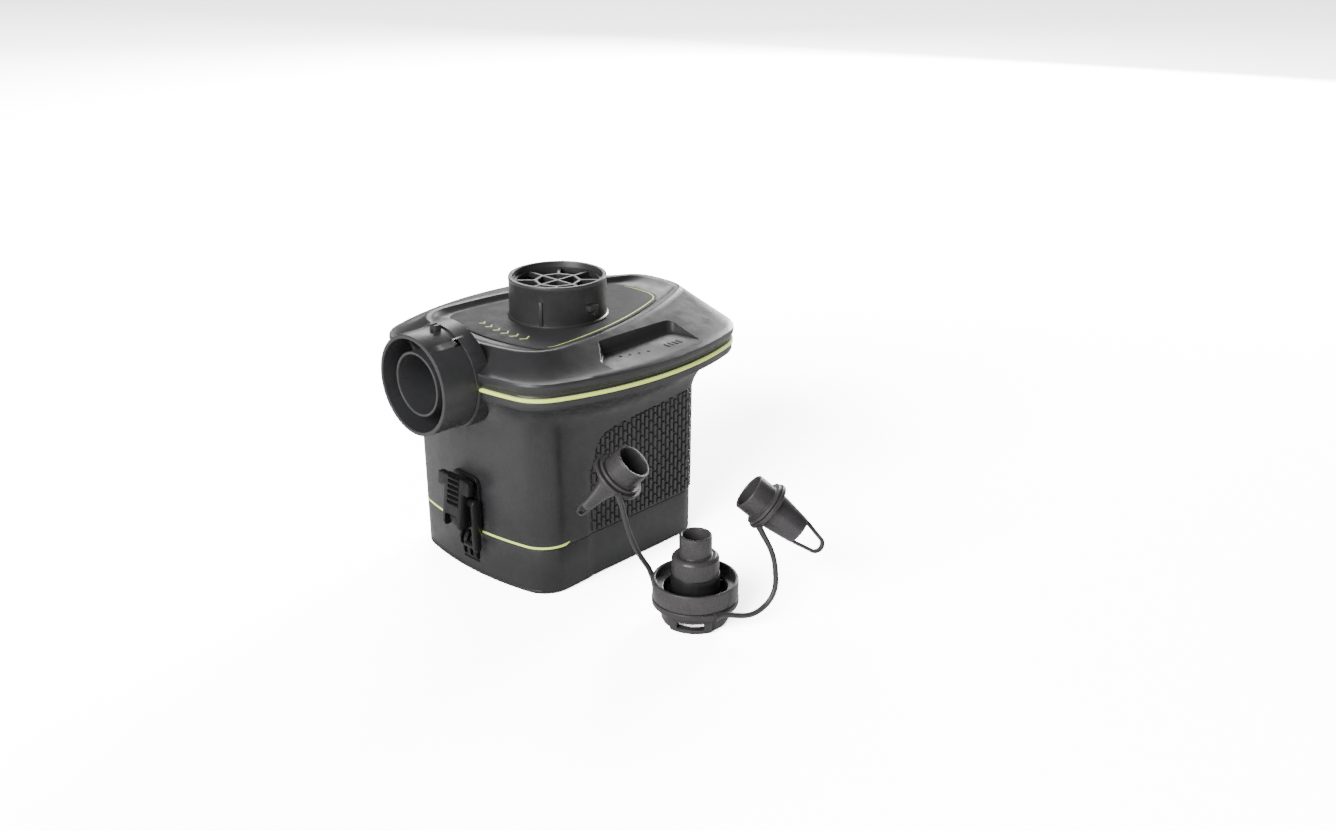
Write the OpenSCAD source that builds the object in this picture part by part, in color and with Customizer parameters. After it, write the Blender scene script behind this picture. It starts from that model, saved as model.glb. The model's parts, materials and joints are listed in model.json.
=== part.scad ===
// Battery air pump for mattresses: inlet port on top, outlet port in front,
// draw latch on the battery cover, and a tethered set of nozzles beside it.
// Millimetres, +Z up. The origin is the middle of the underside of the body.

/* [Body] */
// Half the width of the body
body_half = 42.8; // [42:0.2:45]
// From the origin to the middle of the bowed front
body_front = 53.2; // [52.4:0.2:55]
// From the origin to the middle of the bowed rear
body_rear = 49.9; // [49:0.2:52]
// Height of the battery cover
cover_h = 20.7; // [19:0.1:20.7]
// Thickness of the moulded walls
wall = 2.2; // [1.8:0.1:2.6]

/* [Flange] */
// Half the width of the flange at its widest
flange_half = 63.5; // [62:0.5:66]
// From the origin to the front edge of the flange
flange_front = 62.2; // [61:0.2:63]
// From the origin to the rear edge of the flange
flange_rear = 70; // [66:0.5:72]
// Height of the joint between the two halves
seam_z = 90.5; // [90:0.1:91]
// Height of the crest round the deck
crest_z = 106; // [105:0.2:107]
// Depth of the dished deck below the crest
deck_drop = 2.5; // [2:0.1:3]

/* [Ports] */
// Outer radius of both ports
port_r = 21; // [20.5:0.1:21]
// Wall of both ports
port_wall = 1.8; // [1.5:0.1:2]
// Height of the inlet port above the deck
inlet_h = 18; // [15:0.5:20]
// From the origin to the mouth of the outlet port
outlet_reach = 77.6; // [75:0.2:80]
// Height of the outlet port's axis
outlet_z = 92.1; // [92:0.1:92.4]
// Outer radius of the tube inside the outlet port
inner_r = 13.5; // [13:0.1:14]

/* [Fan] */
// Radius of the impeller
impeller_r = 29; // [26:0.5:30]
// Number of blades
blade_count = 9; // [6:1:11]
// Radius of the motor's can
motor_r = 13.8; // [13:0.1:13.8]

/* [Battery] */
// Radius of one cell
cell_r = 13.1; // [12.8:0.1:13.1]
// Length of one cell without its terminal
cell_h = 48.6; // [48:0.1:48.6]

/* [Latch] */
// Half the width of the lever
lever_half = 6; // [5.8:0.1:6.2]
// Half the width of the lever's head
head_half = 10.4; // [9.5:0.1:11]
// Radius of the two latch pins
latch_pin_r = 1.1; // [1:0.05:1.2]

/* [Nozzles] */
// Radius of the adapter's skirt
skirt_r = 17.4; // [17:0.1:17.6]
// Radius of the adapter's lower step
step_r = 9.6; // [9.2:0.1:9.8]
// Radius of the adapter's spout
spout_r = 6.6; // [6.2:0.1:7]
// Diameter of the moulded tethers
tether_d = 2.2; // [2:0.1:2.4]

/* [Hidden] */
$fn = 48;
e = 0.01;
gap = 0.1;
run = 0.05;

charcoal = [0.27, 0.27, 0.28];
black = [0.09, 0.09, 0.1];
lime = [0.72, 0.84, 0.33];
label_grey = [0.55, 0.55, 0.57];
smoke = [0.36, 0.35, 0.37];
steel = [0.75, 0.76, 0.78];
brass = [0.78, 0.66, 0.38];
copper = [0.72, 0.45, 0.3];

// Each plan is a right half of five arcs, front to rear: [front y, front radius,
// side x, side y, side radius, rear y, rear radius, front corner, rear corner]
body_plan = [body_front, 141, body_half, 0, 4000, body_rear, 279, 13.5, 14];
flange_plan = [flange_front, 190, flange_half, 7, 134, flange_rear, 115, 19, 22];
crest_plan = [52.4, 95, 39.8, -30, 190, 66, 62, 17, 14];
rim_plan = [49.4, 92, 36.8, -30, 187, 63, 59, 14, 11];
deck_plan = [44.4, 87, 33.6, -30, 182, 57, 54, 10, 8];
label_plan = [40.5, 84, 32.6, -30, 182, 51, 50, 9, 8];

deck_z = crest_z - deck_drop;
trim_h = 1.6;
lid_z = seam_z + trim_h;
port_z = deck_z + inlet_h;
port_y = 1;
ceiling_z = 97.2;
thumb_z = 98.6;
thumb_r = 2.8;
seat_relief = 0.3;
outlet_seat = 10;
lug_angle = [5, 185];
stop_angle = [30, 210];
inlet_seat = 6;
hood_r = port_r + 1.4;
hood_y = 62.2;
tube_end = 55.5;
hood_end = 49.5;
cavity_top = deck_z - wall;

// Fan and motor heights
scroll_z = 78;
scroll_top = 95;
scroll_r = 36;
duct_half = 13.5;
duct_wall = 1.7;
can_z = 61.5;
can_top = 84;
shaft_r = 1.15;

// Battery heights
cell_pitch = 27;
cell_z = 7.2;
nub_h = 1.3;
partition_z = 57.5;
floor_t = 3;

// Latch axes, as [y, z]
pivot = [-58, 27];
bail_axis = [-57.3, 36.1];
bar_axis = [-57.3, 15.9];
pad_y = -52;
plate_y = -54.6;
lever_lean = 0.126;
rib_count = 6;
rib_from = 34.6;
rib_pitch = 2.3;
rib_middle = 0.4;
rib_half = 3.2;
keeper_half = 4.6;
arm_x = 7.8;
arm_t = 2.1;
arm_r = 1.8;
eye_r = 2.1;
bar_r = 1.2;
base_half = 8.6;
base_corner = 4.2;
base_from = 23.8;
base_to = 46.8;

// Cover hinge axis, as [y, z]
hinge = [52.9, 20.2];
hinge_pin_r = 1.2;
knuckle_r = 2.6;

// Switch
switch_z = 68.5;
switch_y = 46.4;

// Places of the nozzle set. A nozzle is placed by the middle of its tether ring, as
// [ring centre, heading, pitch below the horizontal, roll about its axis]
adapter_at = [96, -15.5];
loop_pose = [[110.95, 10.7, 45.5], 40.5, 39.8, 68];
loop_len = 39.4;
loop_ring_r = 10.5;
slim_pose = [[67.2, -29.9, 58.4], -156.2, 48.3, 90];
slim_len = 36.2;
slim_ring_r = 11.15;
collar_from = 7.8;
collar_to = 9.2;
ring_from = 9.3;
ring_to = 11;

// Tether routes, from the adapter's strap to each nozzle's ring
left_route = [
    [78.7, -20.4, 8.9], [77.9, -20.9, 12.2], [77.6, -22, 15.3], [77.5, -23.3, 18.3],
    [77.2, -25, 21.2], [76.9, -26.7, 24], [76.5, -28.3, 27], [76.1, -29.7, 30],
    [75.7, -30.9, 33], [75.3, -31.9, 36.2], [74.9, -32.7, 39.4], [74.7, -33.5, 42.6],
    [74.7, -34.4, 45.9], [74.7, -35.3, 49.1], [74.7, -36.3, 52.2], [74.6, -37.4, 55.4]
];
right_route = [
    [112.3, -22.2, 8.9], [113.3, -18.9, 9.1], [114.7, -15.9, 8.5], [116.3, -13, 7.6],
    [118, -10.1, 7], [119.5, -7.1, 7.1], [120.8, -4.2, 8.3], [121.8, -1.5, 10.2],
    [122.5, 0.7, 12.8], [122.7, 2.2, 15.8], [122.4, 3.1, 19.1], [121.7, 3.6, 22.4],
    [120.8, 4.1, 25.6], [119.6, 4.3, 28.8], [118.3, 4, 31.9], [117, 3.2, 34.9],
    [115.5, 2.4, 37.9], [113.9, 2, 40.8]
];

// ---- Outlines and lofts ----

function angle_of(v) = atan2(v.y, v.x);
function arc(c, r, a0, a1, n) = [for (i = [0:n]) let (a = a0 + (a1 - a0) * i / n) c + r * [cos(a), sin(a)]];

// Where a circle at a of radius ra meets one at b of radius rb, on the side given
function meet(a, ra, b, rb, side) =
    let (d = norm(b - a), u = (b - a) / d, t = (d * d + ra * ra - rb * rb) / (2 * d))
    a + u * t + side * sqrt(ra * ra - t * t) * [-u.y, u.x];

// Right half of a plan, inset by k all round
function half_plan(p, k) =
    let (
        front = [0, p[1] - p[0]],
        flank = [p[2] - p[4], p[3]],
        rear = [0, p[5] - p[6]],
        fc = meet(front, p[1] - p[7], flank, p[4] - p[7], 1),
        rc = meet(rear, p[6] - p[8], flank, p[4] - p[8], -1),
        a1 = angle_of(fc - front), a2 = angle_of(fc - flank),
        a3 = angle_of(rc - flank), a4 = angle_of(rc - rear)
    )
    concat(
        arc(front, p[1] - k, -90, a1, 2), arc(fc, p[7] - k, a1, a2, 4),
        arc(flank, p[4] - k, a2, a3, 3), arc(rc, p[8] - k, a3, a4, 4),
        arc(rear, p[6] - k, a4, 90, 2)
    );

// A full plan, without the points that two arcs share
function plan(p, k = 0) =
    let (
        h = half_plan(p, k),
        keep = [for (i = [0:len(h) - 1]) if (i == 0 || norm(h[i] - h[i - 1]) > 0.001) h[i]]
    )
    concat(keep, [for (i = [len(keep) - 2:-1:1]) [-keep[i].x, keep[i].y]]);

function mix(a, b, t) = [for (i = [0:len(a) - 1]) a[i] * (1 - t) + b[i] * t];
function lift(outline, z) = [for (q = outline) [q.x, q.y, z]];

// A closed solid through rings of points that all have the same count
module loft(rings) {
    n = len(rings[0]);
    last = len(rings) - 1;
    sides = [for (j = [0:last - 1]) for (i = [0:n - 1]) each [
        [j * n + i, j * n + n + i, j * n + (i + 1) % n],
        [j * n + (i + 1) % n, j * n + n + i, j * n + n + (i + 1) % n]
    ]];
    caps = [[for (i = [0:n - 1]) i], [for (i = [n - 1:-1:0]) last * n + i]];
    polyhedron(points = [for (r = rings) each r], faces = concat(sides, caps), convexity = 6);
}

module slab(outline, z0, z1) {
    translate([0, 0, z0]) linear_extrude(z1 - z0) polygon(outline);
}

// A cylinder or cone round the outlet's axis, from y0 forward to y1
module on_outlet(y0, y1, r0, r1) {
    translate([0, -y0, outlet_z]) rotate([90, 0, 0]) cylinder(h = y1 - y0, r1 = r0, r2 = r1);
}

// A cylinder along X, centred on x = 0, at a [y, z] axis
module across(axis, half, r) {
    translate([-half, axis.x, axis.y]) rotate([0, 90, 0]) cylinder(h = 2 * half, r = r);
}

module block(lo, hi) {
    translate(lo) cube(hi - lo);
}

// A round tube through a list of points, with a given number of sides
module sweep(points, d, sides) {
    last = len(points) - 1;
    rings = [for (i = [0:last])
        let (
            t = points[min(i + 1, last)] - points[max(i - 1, 0)],
            u = t / norm(t),
            side = cross(u, [0, 0, 1]) / norm(cross(u, [0, 0, 1])),
            up = cross(side, u)
        )
        [for (k = [0:sides - 1])
            let (a = 360 * (k + 0.5) / sides)
            points[i] + d / 2 * (cos(a) * side + sin(a) * up)
        ]
    ];
    loft(rings);
}

module mirrored() {
    children();
    mirror([1, 0, 0]) children();
}

// ---- Housing ----

boss_at = [[36.4, -36], [36, 34.5]];
trim_edge = -37;

module main_housing() {
    body = plan(body_plan);
    color(charcoal) difference() {
        union() {
            difference() {
                union() {
                    slab(body, cover_h + 0.2, 70);
                    loft([
                        lift(body, 70 - e), lift(mix(body, plan(flange_plan, 0.6), 0.16), 77),
                        lift(mix(body, plan(flange_plan, 0.6), 0.55), 83),
                        lift(plan(flange_plan, 0.6), 87.4), lift(plan(flange_plan, 0.6), seam_z)
                    ]);
                }
                slab(plan(body_plan, wall), cover_h, 74);
                loft([
                    lift(plan(body_plan, wall), 74 - e),
                    lift(mix(plan(body_plan, wall), plan(flange_plan, 3), 0.12), 80),
                    lift(mix(plan(body_plan, wall), plan(flange_plan, 3), 0.6), 87),
                    lift(plan(flange_plan, 3), seam_z + e)
                ]);
            }
            intersection() {
                on_outlet(50, hood_y - 0.6, hood_r, hood_r);
                block([-30, -70, 60], [30, -40, seam_z]);
            }
            mirrored() for (b = boss_at) {
                translate([b.x, b.y, 72]) cylinder(h = 84 - 72, r = 3.8);
                block([b.x, b.y - 1, 72], [body_half - 1, b.y + 1, 82]);
            }
            mirrored() {
                block([13.8, 48, cover_h + 0.2], [20, hinge.x, 25.5]);
                translate([13.8, hinge.x, hinge.y]) rotate([0, 90, 0]) cylinder(h = 6.2, r = knuckle_r);
            }
        }
        on_outlet(46, hood_y + 1, port_r + gap, port_r + gap);
        base_plate(0.5, plate_y - 2);
        block([-11.2, 40, switch_z - 9.2], [11.2, 60, switch_z + 9.2]);
        block([-12.6, 50.1, switch_z - 10.6], [12.6, 60, switch_z + 10.6]);
        mirrored() for (b = boss_at) translate([b.x, b.y, 70]) cylinder(h = 20, r = 1.8);
        across(hinge, 25, hinge_pin_r);
        linear_extrude(cover_h + 0.2 + 1.5) difference() {
            intersection() {
                polygon(plan(body_plan, -1));
                translate([-60, -80]) square([120, 80 + trim_edge]);
            }
            polygon(plan(body_plan, 1.1));
        }
    }
}

module top_cover() {
    flange = plan(flange_plan);
    crest = plan(crest_plan);
    color(charcoal) difference() {
        union() {
            difference() {
                union() {
                    loft([
                        lift(plan(flange_plan, 1), lid_z), lift(plan(flange_plan, 1), 93.6),
                        lift(flange, 95.2), lift(plan(flange_plan, 0.8), 97.8),
                        lift(mix(flange, crest, 0.4), 100.2), lift(mix(flange, crest, 0.84), 103.9),
                        lift(crest, crest_z - 0.3), lift(plan(crest_plan, 1.4), crest_z)
                    ]);
                    intersection() {
                        union() {
                            on_outlet(tube_end, hood_y, hood_r, hood_r);
                            on_outlet(hood_end, tube_end + e, 14, hood_r);
                        }
                        block([-30, -70, lid_z], [30, -40, 120]);
                    }
                }
                slab(plan(flange_plan, 3), lid_z - 1, 94);
                loft([
                    lift(plan(flange_plan, 3), 94 - e), lift(plan(flange_plan, 9), 96.4),
                    lift(plan(crest_plan, 3), ceiling_z), lift(plan(crest_plan, 3), cavity_top)
                ]);
                loft([
                    lift(plan(deck_plan), deck_z), lift(plan(rim_plan), crest_z + e),
                    lift(plan(rim_plan), crest_z + 12)
                ]);
                on_outlet(hood_end, tube_end + e, 12.2, hood_r - 1.9);
                block([-15.4, -tube_end, scroll_top - 0.1], [15.4, -48, scroll_top + 1.7]);
                thumb_cut();
            }
            mirrored() for (b = boss_at) translate([b.x, b.y, 84]) cylinder(h = 14, r = 3.6);
        }
        on_outlet(tube_end, hood_y + 1, port_r + gap, port_r + gap);
        translate([0, port_y, cavity_top - 8]) cylinder(h = 20, r = port_r - port_wall);
        mirrored() for (b = boss_at) translate([b.x, b.y, 80]) cylinder(h = 17, r = 1.6);
    }
}

// Finger recess in the right-hand slope, open to the outside, with a sloping front wall
module thumb_cut() {
    translate([0, 0, thumb_z]) hull() {
        for (q = [[43.5, -10.6], [50.5, -18.6], [80, -20], [80, 27], [45.4, 24.6]]) {
            translate(q) cylinder(h = 0.5, r = thumb_r);
        }
        for (q = [[43.2, -13.8], [54, -22.6], [80, -24], [80, 29], [42.8, 27.8]]) {
            translate([q.x, q.y, 8]) cylinder(h = 4, r = thumb_r);
        }
    }
}

module battery_cover() {
    color(charcoal) difference() {
        union() {
            difference() {
                slab(plan(body_plan), 0, cover_h);
                slab(plan(body_plan, wall), floor_t, cover_h + 1);
            }
            mirrored() {
                block([7, 48, 14.5], [13.5, hinge.x, hinge.y]);
                translate([7, hinge.x, hinge.y]) rotate([0, 90, 0]) cylinder(h = 6.5, r = knuckle_r);
            }
        }
        block([-keeper_half - 0.6, -60, 5.6], [keeper_half + 0.6, pad_y, 19.6]);
        across(hinge, 25, hinge_pin_r + run);
    }
}

module upper_trim() {
    color(lime) difference() {
        translate([0, 0, seam_z]) linear_extrude(trim_h) difference() {
            polygon(plan(flange_plan, 0.2));
            polygon(plan(flange_plan, 3));
        }
        on_outlet(46, hood_y + 3, port_r + gap, port_r + gap);
    }
}

module lower_trim() {
    color(lime) translate([0, 0, cover_h + 0.2]) linear_extrude(1.5) difference() {
        intersection() {
            polygon(plan(body_plan, -0.2));
            translate([-60, -80]) square([120, 80 + trim_edge]);
        }
        polygon(plan(body_plan, 1.1));
    }
}

module deck_label() {
    color(label_grey) translate([0, 0, deck_z]) linear_extrude(0.5) difference() {
        polygon(plan(label_plan));
        translate([0, port_y]) circle(r = port_r + 0.9);
    }
}

// ---- Ports ----

module inlet_port() {
    bore = port_r - port_wall;
    color(charcoal) translate([0, port_y, 0]) {
        difference() {
            union() {
                translate([0, 0, deck_z]) cylinder(h = inlet_h - 1, r = port_r - seat_relief);
                translate([0, 0, port_z - inlet_seat]) cylinder(h = inlet_seat, r = port_r);
                translate([0, 0, deck_z]) cylinder(h = 1.4, r = port_r + 0.6);
                rotate([0, 0, -62]) {
                    block([port_r - 1, -0.8, deck_z + 1.4 - e], [port_r + 0.7, 0.8, deck_z + 11.6]);
                }
                for (a = [-2, 178]) rotate([0, 0, a]) {
                    block([port_r - 1, -2.4, deck_z + 6.6], [port_r + 2.4, 2.4, deck_z + 9]);
                    block([port_r - 1, 0.4, deck_z + 4.4], [port_r + 2.4, 2.4, deck_z + 6.6 + e]);
                }
            }
            translate([0, 0, deck_z - e]) cylinder(h = inlet_h + 1, r = bore);
        }
        difference() {
            translate([0, 0, scroll_top + 1.8]) cylinder(h = deck_z - scroll_top - 1.8 + e, r = bore - gap);
            translate([0, 0, scroll_top]) cylinder(h = 20, r = bore - 1.5);
        }
        difference() {
            translate([0, 0, deck_z]) cylinder(h = 2, r = bore + e);
            translate([0, 0, deck_z - 1]) cylinder(h = 4, r = bore - 1.5);
        }
    }
}

module inlet_grille() {
    z = port_z - 4.8;
    t = 2.2;
    bore = port_r - port_wall - gap;
    hub = 9.6;
    color(charcoal) translate([0, port_y, z]) intersection() {
        cylinder(h = t, r = bore);
        union() {
            difference() {
                cylinder(h = t, r = bore);
                translate([0, 0, -1]) cylinder(h = t + 2, r = bore - 1.3);
            }
            difference() {
                cylinder(h = t, r = hub + 0.7, $fn = 8);
                translate([0, 0, -1]) cylinder(h = t + 2, r = hub - 0.7, $fn = 8);
            }
            for (a = [0:45:315]) rotate([0, 0, a]) block([hub - 1, -0.6, 0], [bore, 0.6, t]);
            for (a = [0, 90]) rotate([0, 0, a]) block([-hub, -0.6, 0], [hub, 0.6, t]);
        }
    }
}

module outlet_port() {
    bore = port_r - port_wall;
    color(charcoal) difference() {
        union() {
            on_outlet(tube_end, outlet_reach - 1, port_r - seat_relief, port_r - seat_relief);
            on_outlet(outlet_reach - outlet_seat, outlet_reach, port_r, port_r);
            for (a = lug_angle) translate([0, 0, outlet_z]) rotate([0, a, 0])
                block([-1.8, -67.4, port_r - 0.5], [1.8, -64.2, port_r + 2.6]);
            for (a = stop_angle) translate([0, 0, outlet_z]) rotate([0, a, 0]) {
                block([-0.5, -65.6, port_r - 0.7], [0.5, -58.8, port_r + 1]);
                block([-0.5, -65.6, port_r - 0.7], [3.1, -64.6, port_r + 1]);
            }
        }
        on_outlet(tube_end - 1, outlet_reach + 1, bore, bore);
    }
}

module outlet_core() {
    bore = port_r - port_wall;
    color(charcoal) difference() {
        union() {
            on_outlet(tube_end, outlet_reach - 2.3, inner_r, inner_r);
            for (a = [45:90:315]) translate([0, 0, outlet_z]) rotate([0, a, 0])
                block([-0.9, -68, inner_r - 0.5], [0.9, -tube_end, bore - 0.05]);
        }
        on_outlet(tube_end - 1, outlet_reach, inner_r - 1.3, inner_r - 1.3);
    }
}

// ---- Fan and motor ----

module fan_scroll() {
    color(smoke) translate([0, port_y, 0]) difference() {
        union() {
            translate([0, 0, scroll_z]) cylinder(h = scroll_top - scroll_z, r = scroll_r);
            block(
                [-duct_half - duct_wall, -tube_end - port_y + 0.2, scroll_z],
                [duct_half + duct_wall, -20, scroll_top]
            );
            translate([0, 0, scroll_z - 9]) cylinder(h = 10, r = motor_r + 2.4);
        }
        translate([0, 0, scroll_z + 2]) cylinder(h = 30, r = scroll_r - 2);
        block([-duct_half, -70, scroll_z + 2], [duct_half, -20, scroll_top + 1]);
        translate([0, 0, scroll_z - 12]) cylinder(h = 20, r = motor_r + run);
    }
}

module fan_lid() {
    color(smoke) translate([0, 0, scroll_top]) difference() {
        union() {
            translate([0, port_y, 0]) cylinder(h = 1.6, r = scroll_r);
            block([-duct_half - duct_wall, -tube_end + 0.2, 0], [duct_half + duct_wall, -20, 1.6]);
        }
        translate([0, port_y, -1]) cylinder(h = 4, r = port_r - port_wall - 1.5);
    }
}

module impeller() {
    plate_z = scroll_z + 3;
    cup_r = motor_r + 2.6;
    color(black) translate([0, port_y, plate_z]) difference() {
        union() {
            cylinder(h = 1.4, r = impeller_r);
            cylinder(h = 7, r = cup_r);
            cylinder(h = 11.5, r = 3.6);
            for (i = [0:blade_count - 1]) {
                rotate([0, 0, i * 360 / blade_count]) translate([0, 0, 0.7]) blade(cup_r - 0.8);
            }
        }
        translate([0, 0, -1]) cylinder(h = 6.2, r = motor_r + 1);
        translate([0, 0, -1]) cylinder(h = 20, r = shaft_r);
    }
}

// One backward-curved blade, an arc from inside the hub cup almost to the rim
module blade(inner) {
    bend = 24;
    linear_extrude(11.7) intersection() {
        difference() {
            circle(r = impeller_r - 0.6);
            circle(r = inner);
        }
        translate([inner / 2, -bend + 2]) difference() {
            circle(r = bend);
            circle(r = bend - 1.1);
            translate([-60, -60]) square([60, 120]);
            translate([-60, -60]) square([120, 60]);
        }
    }
}

module motor_can() {
    color(steel) translate([0, port_y, 0]) difference() {
        translate([0, 0, can_z]) cylinder(h = can_top - can_z, r = motor_r);
        translate([0, 0, can_z - 1]) cylinder(h = can_top - can_z - 0.2, r = motor_r - 1);
        translate([0, 0, can_z]) cylinder(h = 40, r = 3.2);
    }
}

module motor_magnets() {
    height = can_top - can_z - 6;
    color([0.22, 0.22, 0.23]) translate([0, port_y, can_z + 3]) linear_extrude(height) difference() {
        circle(r = motor_r - 1 - gap);
        circle(r = motor_r - 3.4);
        square([9, 40], center = true);
    }
}

module motor_end_cap() {
    color(black) translate([0, port_y, 0]) difference() {
        union() {
            translate([0, 0, can_z - 1.8]) cylinder(h = 1.8, r = motor_r);
            translate([0, 0, can_z - e]) cylinder(h = 1.8, r = motor_r - 1 - gap);
        }
        translate([0, 0, can_z - 3]) cylinder(h = 6, r = 2.6);
    }
    color(brass) for (s = [-1, 1]) translate([0, port_y, 0]) {
        block([-1.2, s * 8 - 0.3, can_z - e], [1.2, s * 8 + 0.3, can_z + 4.2]);
        block(
            [-1.2, s > 0 ? motor_r - 1 : -motor_r - 1.8, can_z - 1.4],
            [1.2, s > 0 ? motor_r + 1.8 : 1 - motor_r, can_z - 0.8]
        );
    }
}

module motor_bushes() {
    color(brass) translate([0, port_y, 0]) for (z = [can_z - 1.7, can_top - 1.4]) {
        difference() {
            translate([0, 0, z]) cylinder(h = 2.8, r = z < can_z ? 2.6 : 3.2);
            translate([0, 0, z - 1]) cylinder(h = 5, r = shaft_r + run);
        }
    }
}

module motor_shaft() {
    color(steel) translate([0, port_y, can_z - 1.6]) cylinder(h = 32, r = shaft_r);
}

// Three wound poles on the shaft
module armature() {
    pole = motor_r - 4.2;
    color(copper) translate([0, port_y, can_z + 5]) linear_extrude(11) difference() {
        union() {
            circle(r = 4);
            for (a = [0:120:240]) rotate(a) {
                translate([0, -2.2]) square([pole - 1.5, 4.4]);
                intersection() {
                    circle(r = pole);
                    translate([pole - 2, -6]) square([4, 12]);
                }
            }
        }
        circle(r = shaft_r);
    }
}

module commutator() {
    color(brass) translate([0, port_y, can_z + 2.2]) difference() {
        cylinder(h = 2.6, r = 2.9);
        translate([0, 0, -1]) cylinder(h = 6, r = shaft_r);
        for (a = [0:60:120]) rotate([0, 0, a]) block([-4, -0.15, 0.6], [4, 0.15, 4]);
    }
}

// ---- Battery bay ----

// Every cell's place, and whether its terminal points up
cells = [for (i = [0, 1]) for (j = [-1, 0, 1]) [(i - 0.5) * cell_pitch, j * cell_pitch, (i + j) % 2 == 0]];

module battery_partition() {
    color(smoke) translate([0, 0, partition_z]) difference() {
        slab(plan(body_plan, wall + 0.1), 0, 1.8);
        for (x = [-12, 12]) translate([x, 30, -1]) cylinder(h = 4, r = 1.4);
        translate([0, port_y, -1]) cylinder(h = 4, r = 4);
    }
}

module cell_cradle() {
    color(smoke) difference() {
        block([-28, -41.6, 21.5], [28, 41.6, 54]);
        for (c = cells) translate([c.x, c.y, 0]) cylinder(h = 60, r = cell_r + 0.25);
    }
    color(smoke) for (x = [-1, 1]) {
        block(
            [x > 0 ? 28 : -body_half + wall + gap, -1.5, 24],
            [x > 0 ? body_half - wall - gap : -28, 1.5, 54]
        );
    }
}

module battery_cells() {
    for (c = cells) translate([c.x, c.y, cell_z]) {
        color([0.16, 0.17, 0.2]) cylinder(h = cell_h, r = cell_r);
        color(steel) translate([0, 0, c.z ? cell_h - e : -nub_h]) cylinder(h = nub_h + e, r = 3.4);
    }
}

// A short conical coil of wire, standing on z = 0
module coil(h, turns, r0, r1) {
    steps = 8 * turns;
    wire = 0.9;
    points = [for (i = [0:steps])
        let (t = i / steps, r = r0 + (r1 - r0) * t)
        [r * cos(45 * i), r * sin(45 * i), wire / 2 + (h - wire) * t]
    ];
    sweep(points, wire, 4);
}

module top_contacts() {
    low = cell_z + cell_h;
    plate = partition_z - 0.4;
    color(steel) {
        for (j = [-1, 0, 1]) {
            block(
                [-cell_pitch / 2 - 6, j * cell_pitch - 4, plate],
                [cell_pitch / 2 + 6, j * cell_pitch + 4, partition_z]
            );
        }
        for (c = cells) if (!c.z) translate([c.x, c.y, low]) cylinder(h = plate + e - low, r = 3.2);
    }
}

module cover_contacts() {
    t = 0.4;
    pitch = cell_pitch / 2;
    color(steel) {
        for (x = [-pitch, pitch]) block([x - 4, -cell_pitch - 6, floor_t], [x + 4, 6, floor_t + t]);
        block([-pitch - 6, cell_pitch - 4, floor_t], [pitch + 6, cell_pitch + 4, floor_t + t]);
        for (c = cells) if (!c.z) translate([c.x, c.y, floor_t + t]) {
            cylinder(h = cell_z - nub_h - 0.3 - floor_t - t, r = 3.2);
        }
    }
}

module cover_springs() {
    low = floor_t + 0.4;
    color(steel) for (c = cells) if (c.z) translate([c.x, c.y, low]) coil(cell_z - 0.3 - low, 3, 6, 4.2);
}

// Leads from the switch to the motor and to the battery bay
motor_lead = [
    [3, 36, 68], [2.6, 31, 67], [1.4, 26, 64.5], [0.4, 22, 61.8], [0, 19.4, 60.6], [0, 16.7, 60.45]
];
battery_lead = [
    [-5, 36, 68], [-7, 33.4, 67], [-9.6, 31.4, 65], [-11.6, 30.3, 62], [-11.9, 30.1, 59], [-12, 30, 57.6]
];
return_lead = [
    [0, -14.7, 60.45], [2, -17.4, 60.6], [8, -19.4, 60.6], [17, -18, 60.6], [24, -10, 60.6],
    [25, 6, 60.6], [22, 20, 60.6], [16, 28, 60.8], [13.4, 29.4, 60.2], [12.3, 29.9, 58.9], [12, 30, 57.6]
];

module wires() {
    color([0.7, 0.12, 0.1]) sweep(motor_lead, 1.5, 6);
    color([0.7, 0.12, 0.1]) sweep(battery_lead, 1.5, 6);
    color(black) sweep(return_lead, 1.5, 6);
}

// ---- Switch ----

module switch_frame() {
    color(black) difference() {
        union() {
            block([-11.1, 37, switch_z - 9.1], [11.1, 49, switch_z + 9.1]);
            block([-12.4, 50.2, switch_z - 10.4], [12.4, 51.6, switch_z + 10.4]);
            block([-11.1, 49 - e, switch_z - 9.1], [11.1, 50.2 + e, switch_z + 9.1]);
        }
        block([-7, 39, switch_z - 9 + 1.6], [7, 60, switch_z + 9 - 1.6]);
        across([switch_y, switch_z], 9.4, 1.3 + run);
    }
}

// A rocker seen end on: two faces that meet in a shallow valley
module switch_rocker() {
    tilt = 8;
    color(black) translate([0, switch_y, switch_z]) rotate([tilt, 0, 0]) {
        rotate([90, 0, 90]) translate([0, 0, -6.4]) linear_extrude(12.8) polygon([
            [-2.5, -2.4], [2.5, -4.4], [4.6, -6.6], [5.9, -6.5],
            [4.9, 0], [5.9, 6.5], [4.6, 6.6], [2.5, 4.4], [-2.5, 2.4]
        ]);
        across([0, 0], 9.2, 1.3);
    }
}

// ---- Latch ----

// Outline of the base plate, grown all round, from the housing's pad out to a given depth
module base_plate(grow, front) {
    translate([0, pad_y, 0]) rotate([90, 0, 0]) linear_extrude(pad_y - front) offset(grow) hull() {
        translate([-base_half, base_from]) square([2 * base_half, 10]);
        for (x = [-1, 1] * (base_half - base_corner)) {
            translate([x, base_to - base_corner]) circle(r = base_corner);
        }
    }
}

module latch_base() {
    color(black) difference() {
        union() {
            base_plate(0, plate_y);
            block([-3.2, pivot.x, pivot.y - 3.2], [3.2, plate_y + e, pivot.y + 3.2]);
            across(pivot, 3.2, 3.2);
        }
        across(pivot, 5, latch_pin_r);
    }
}

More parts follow.
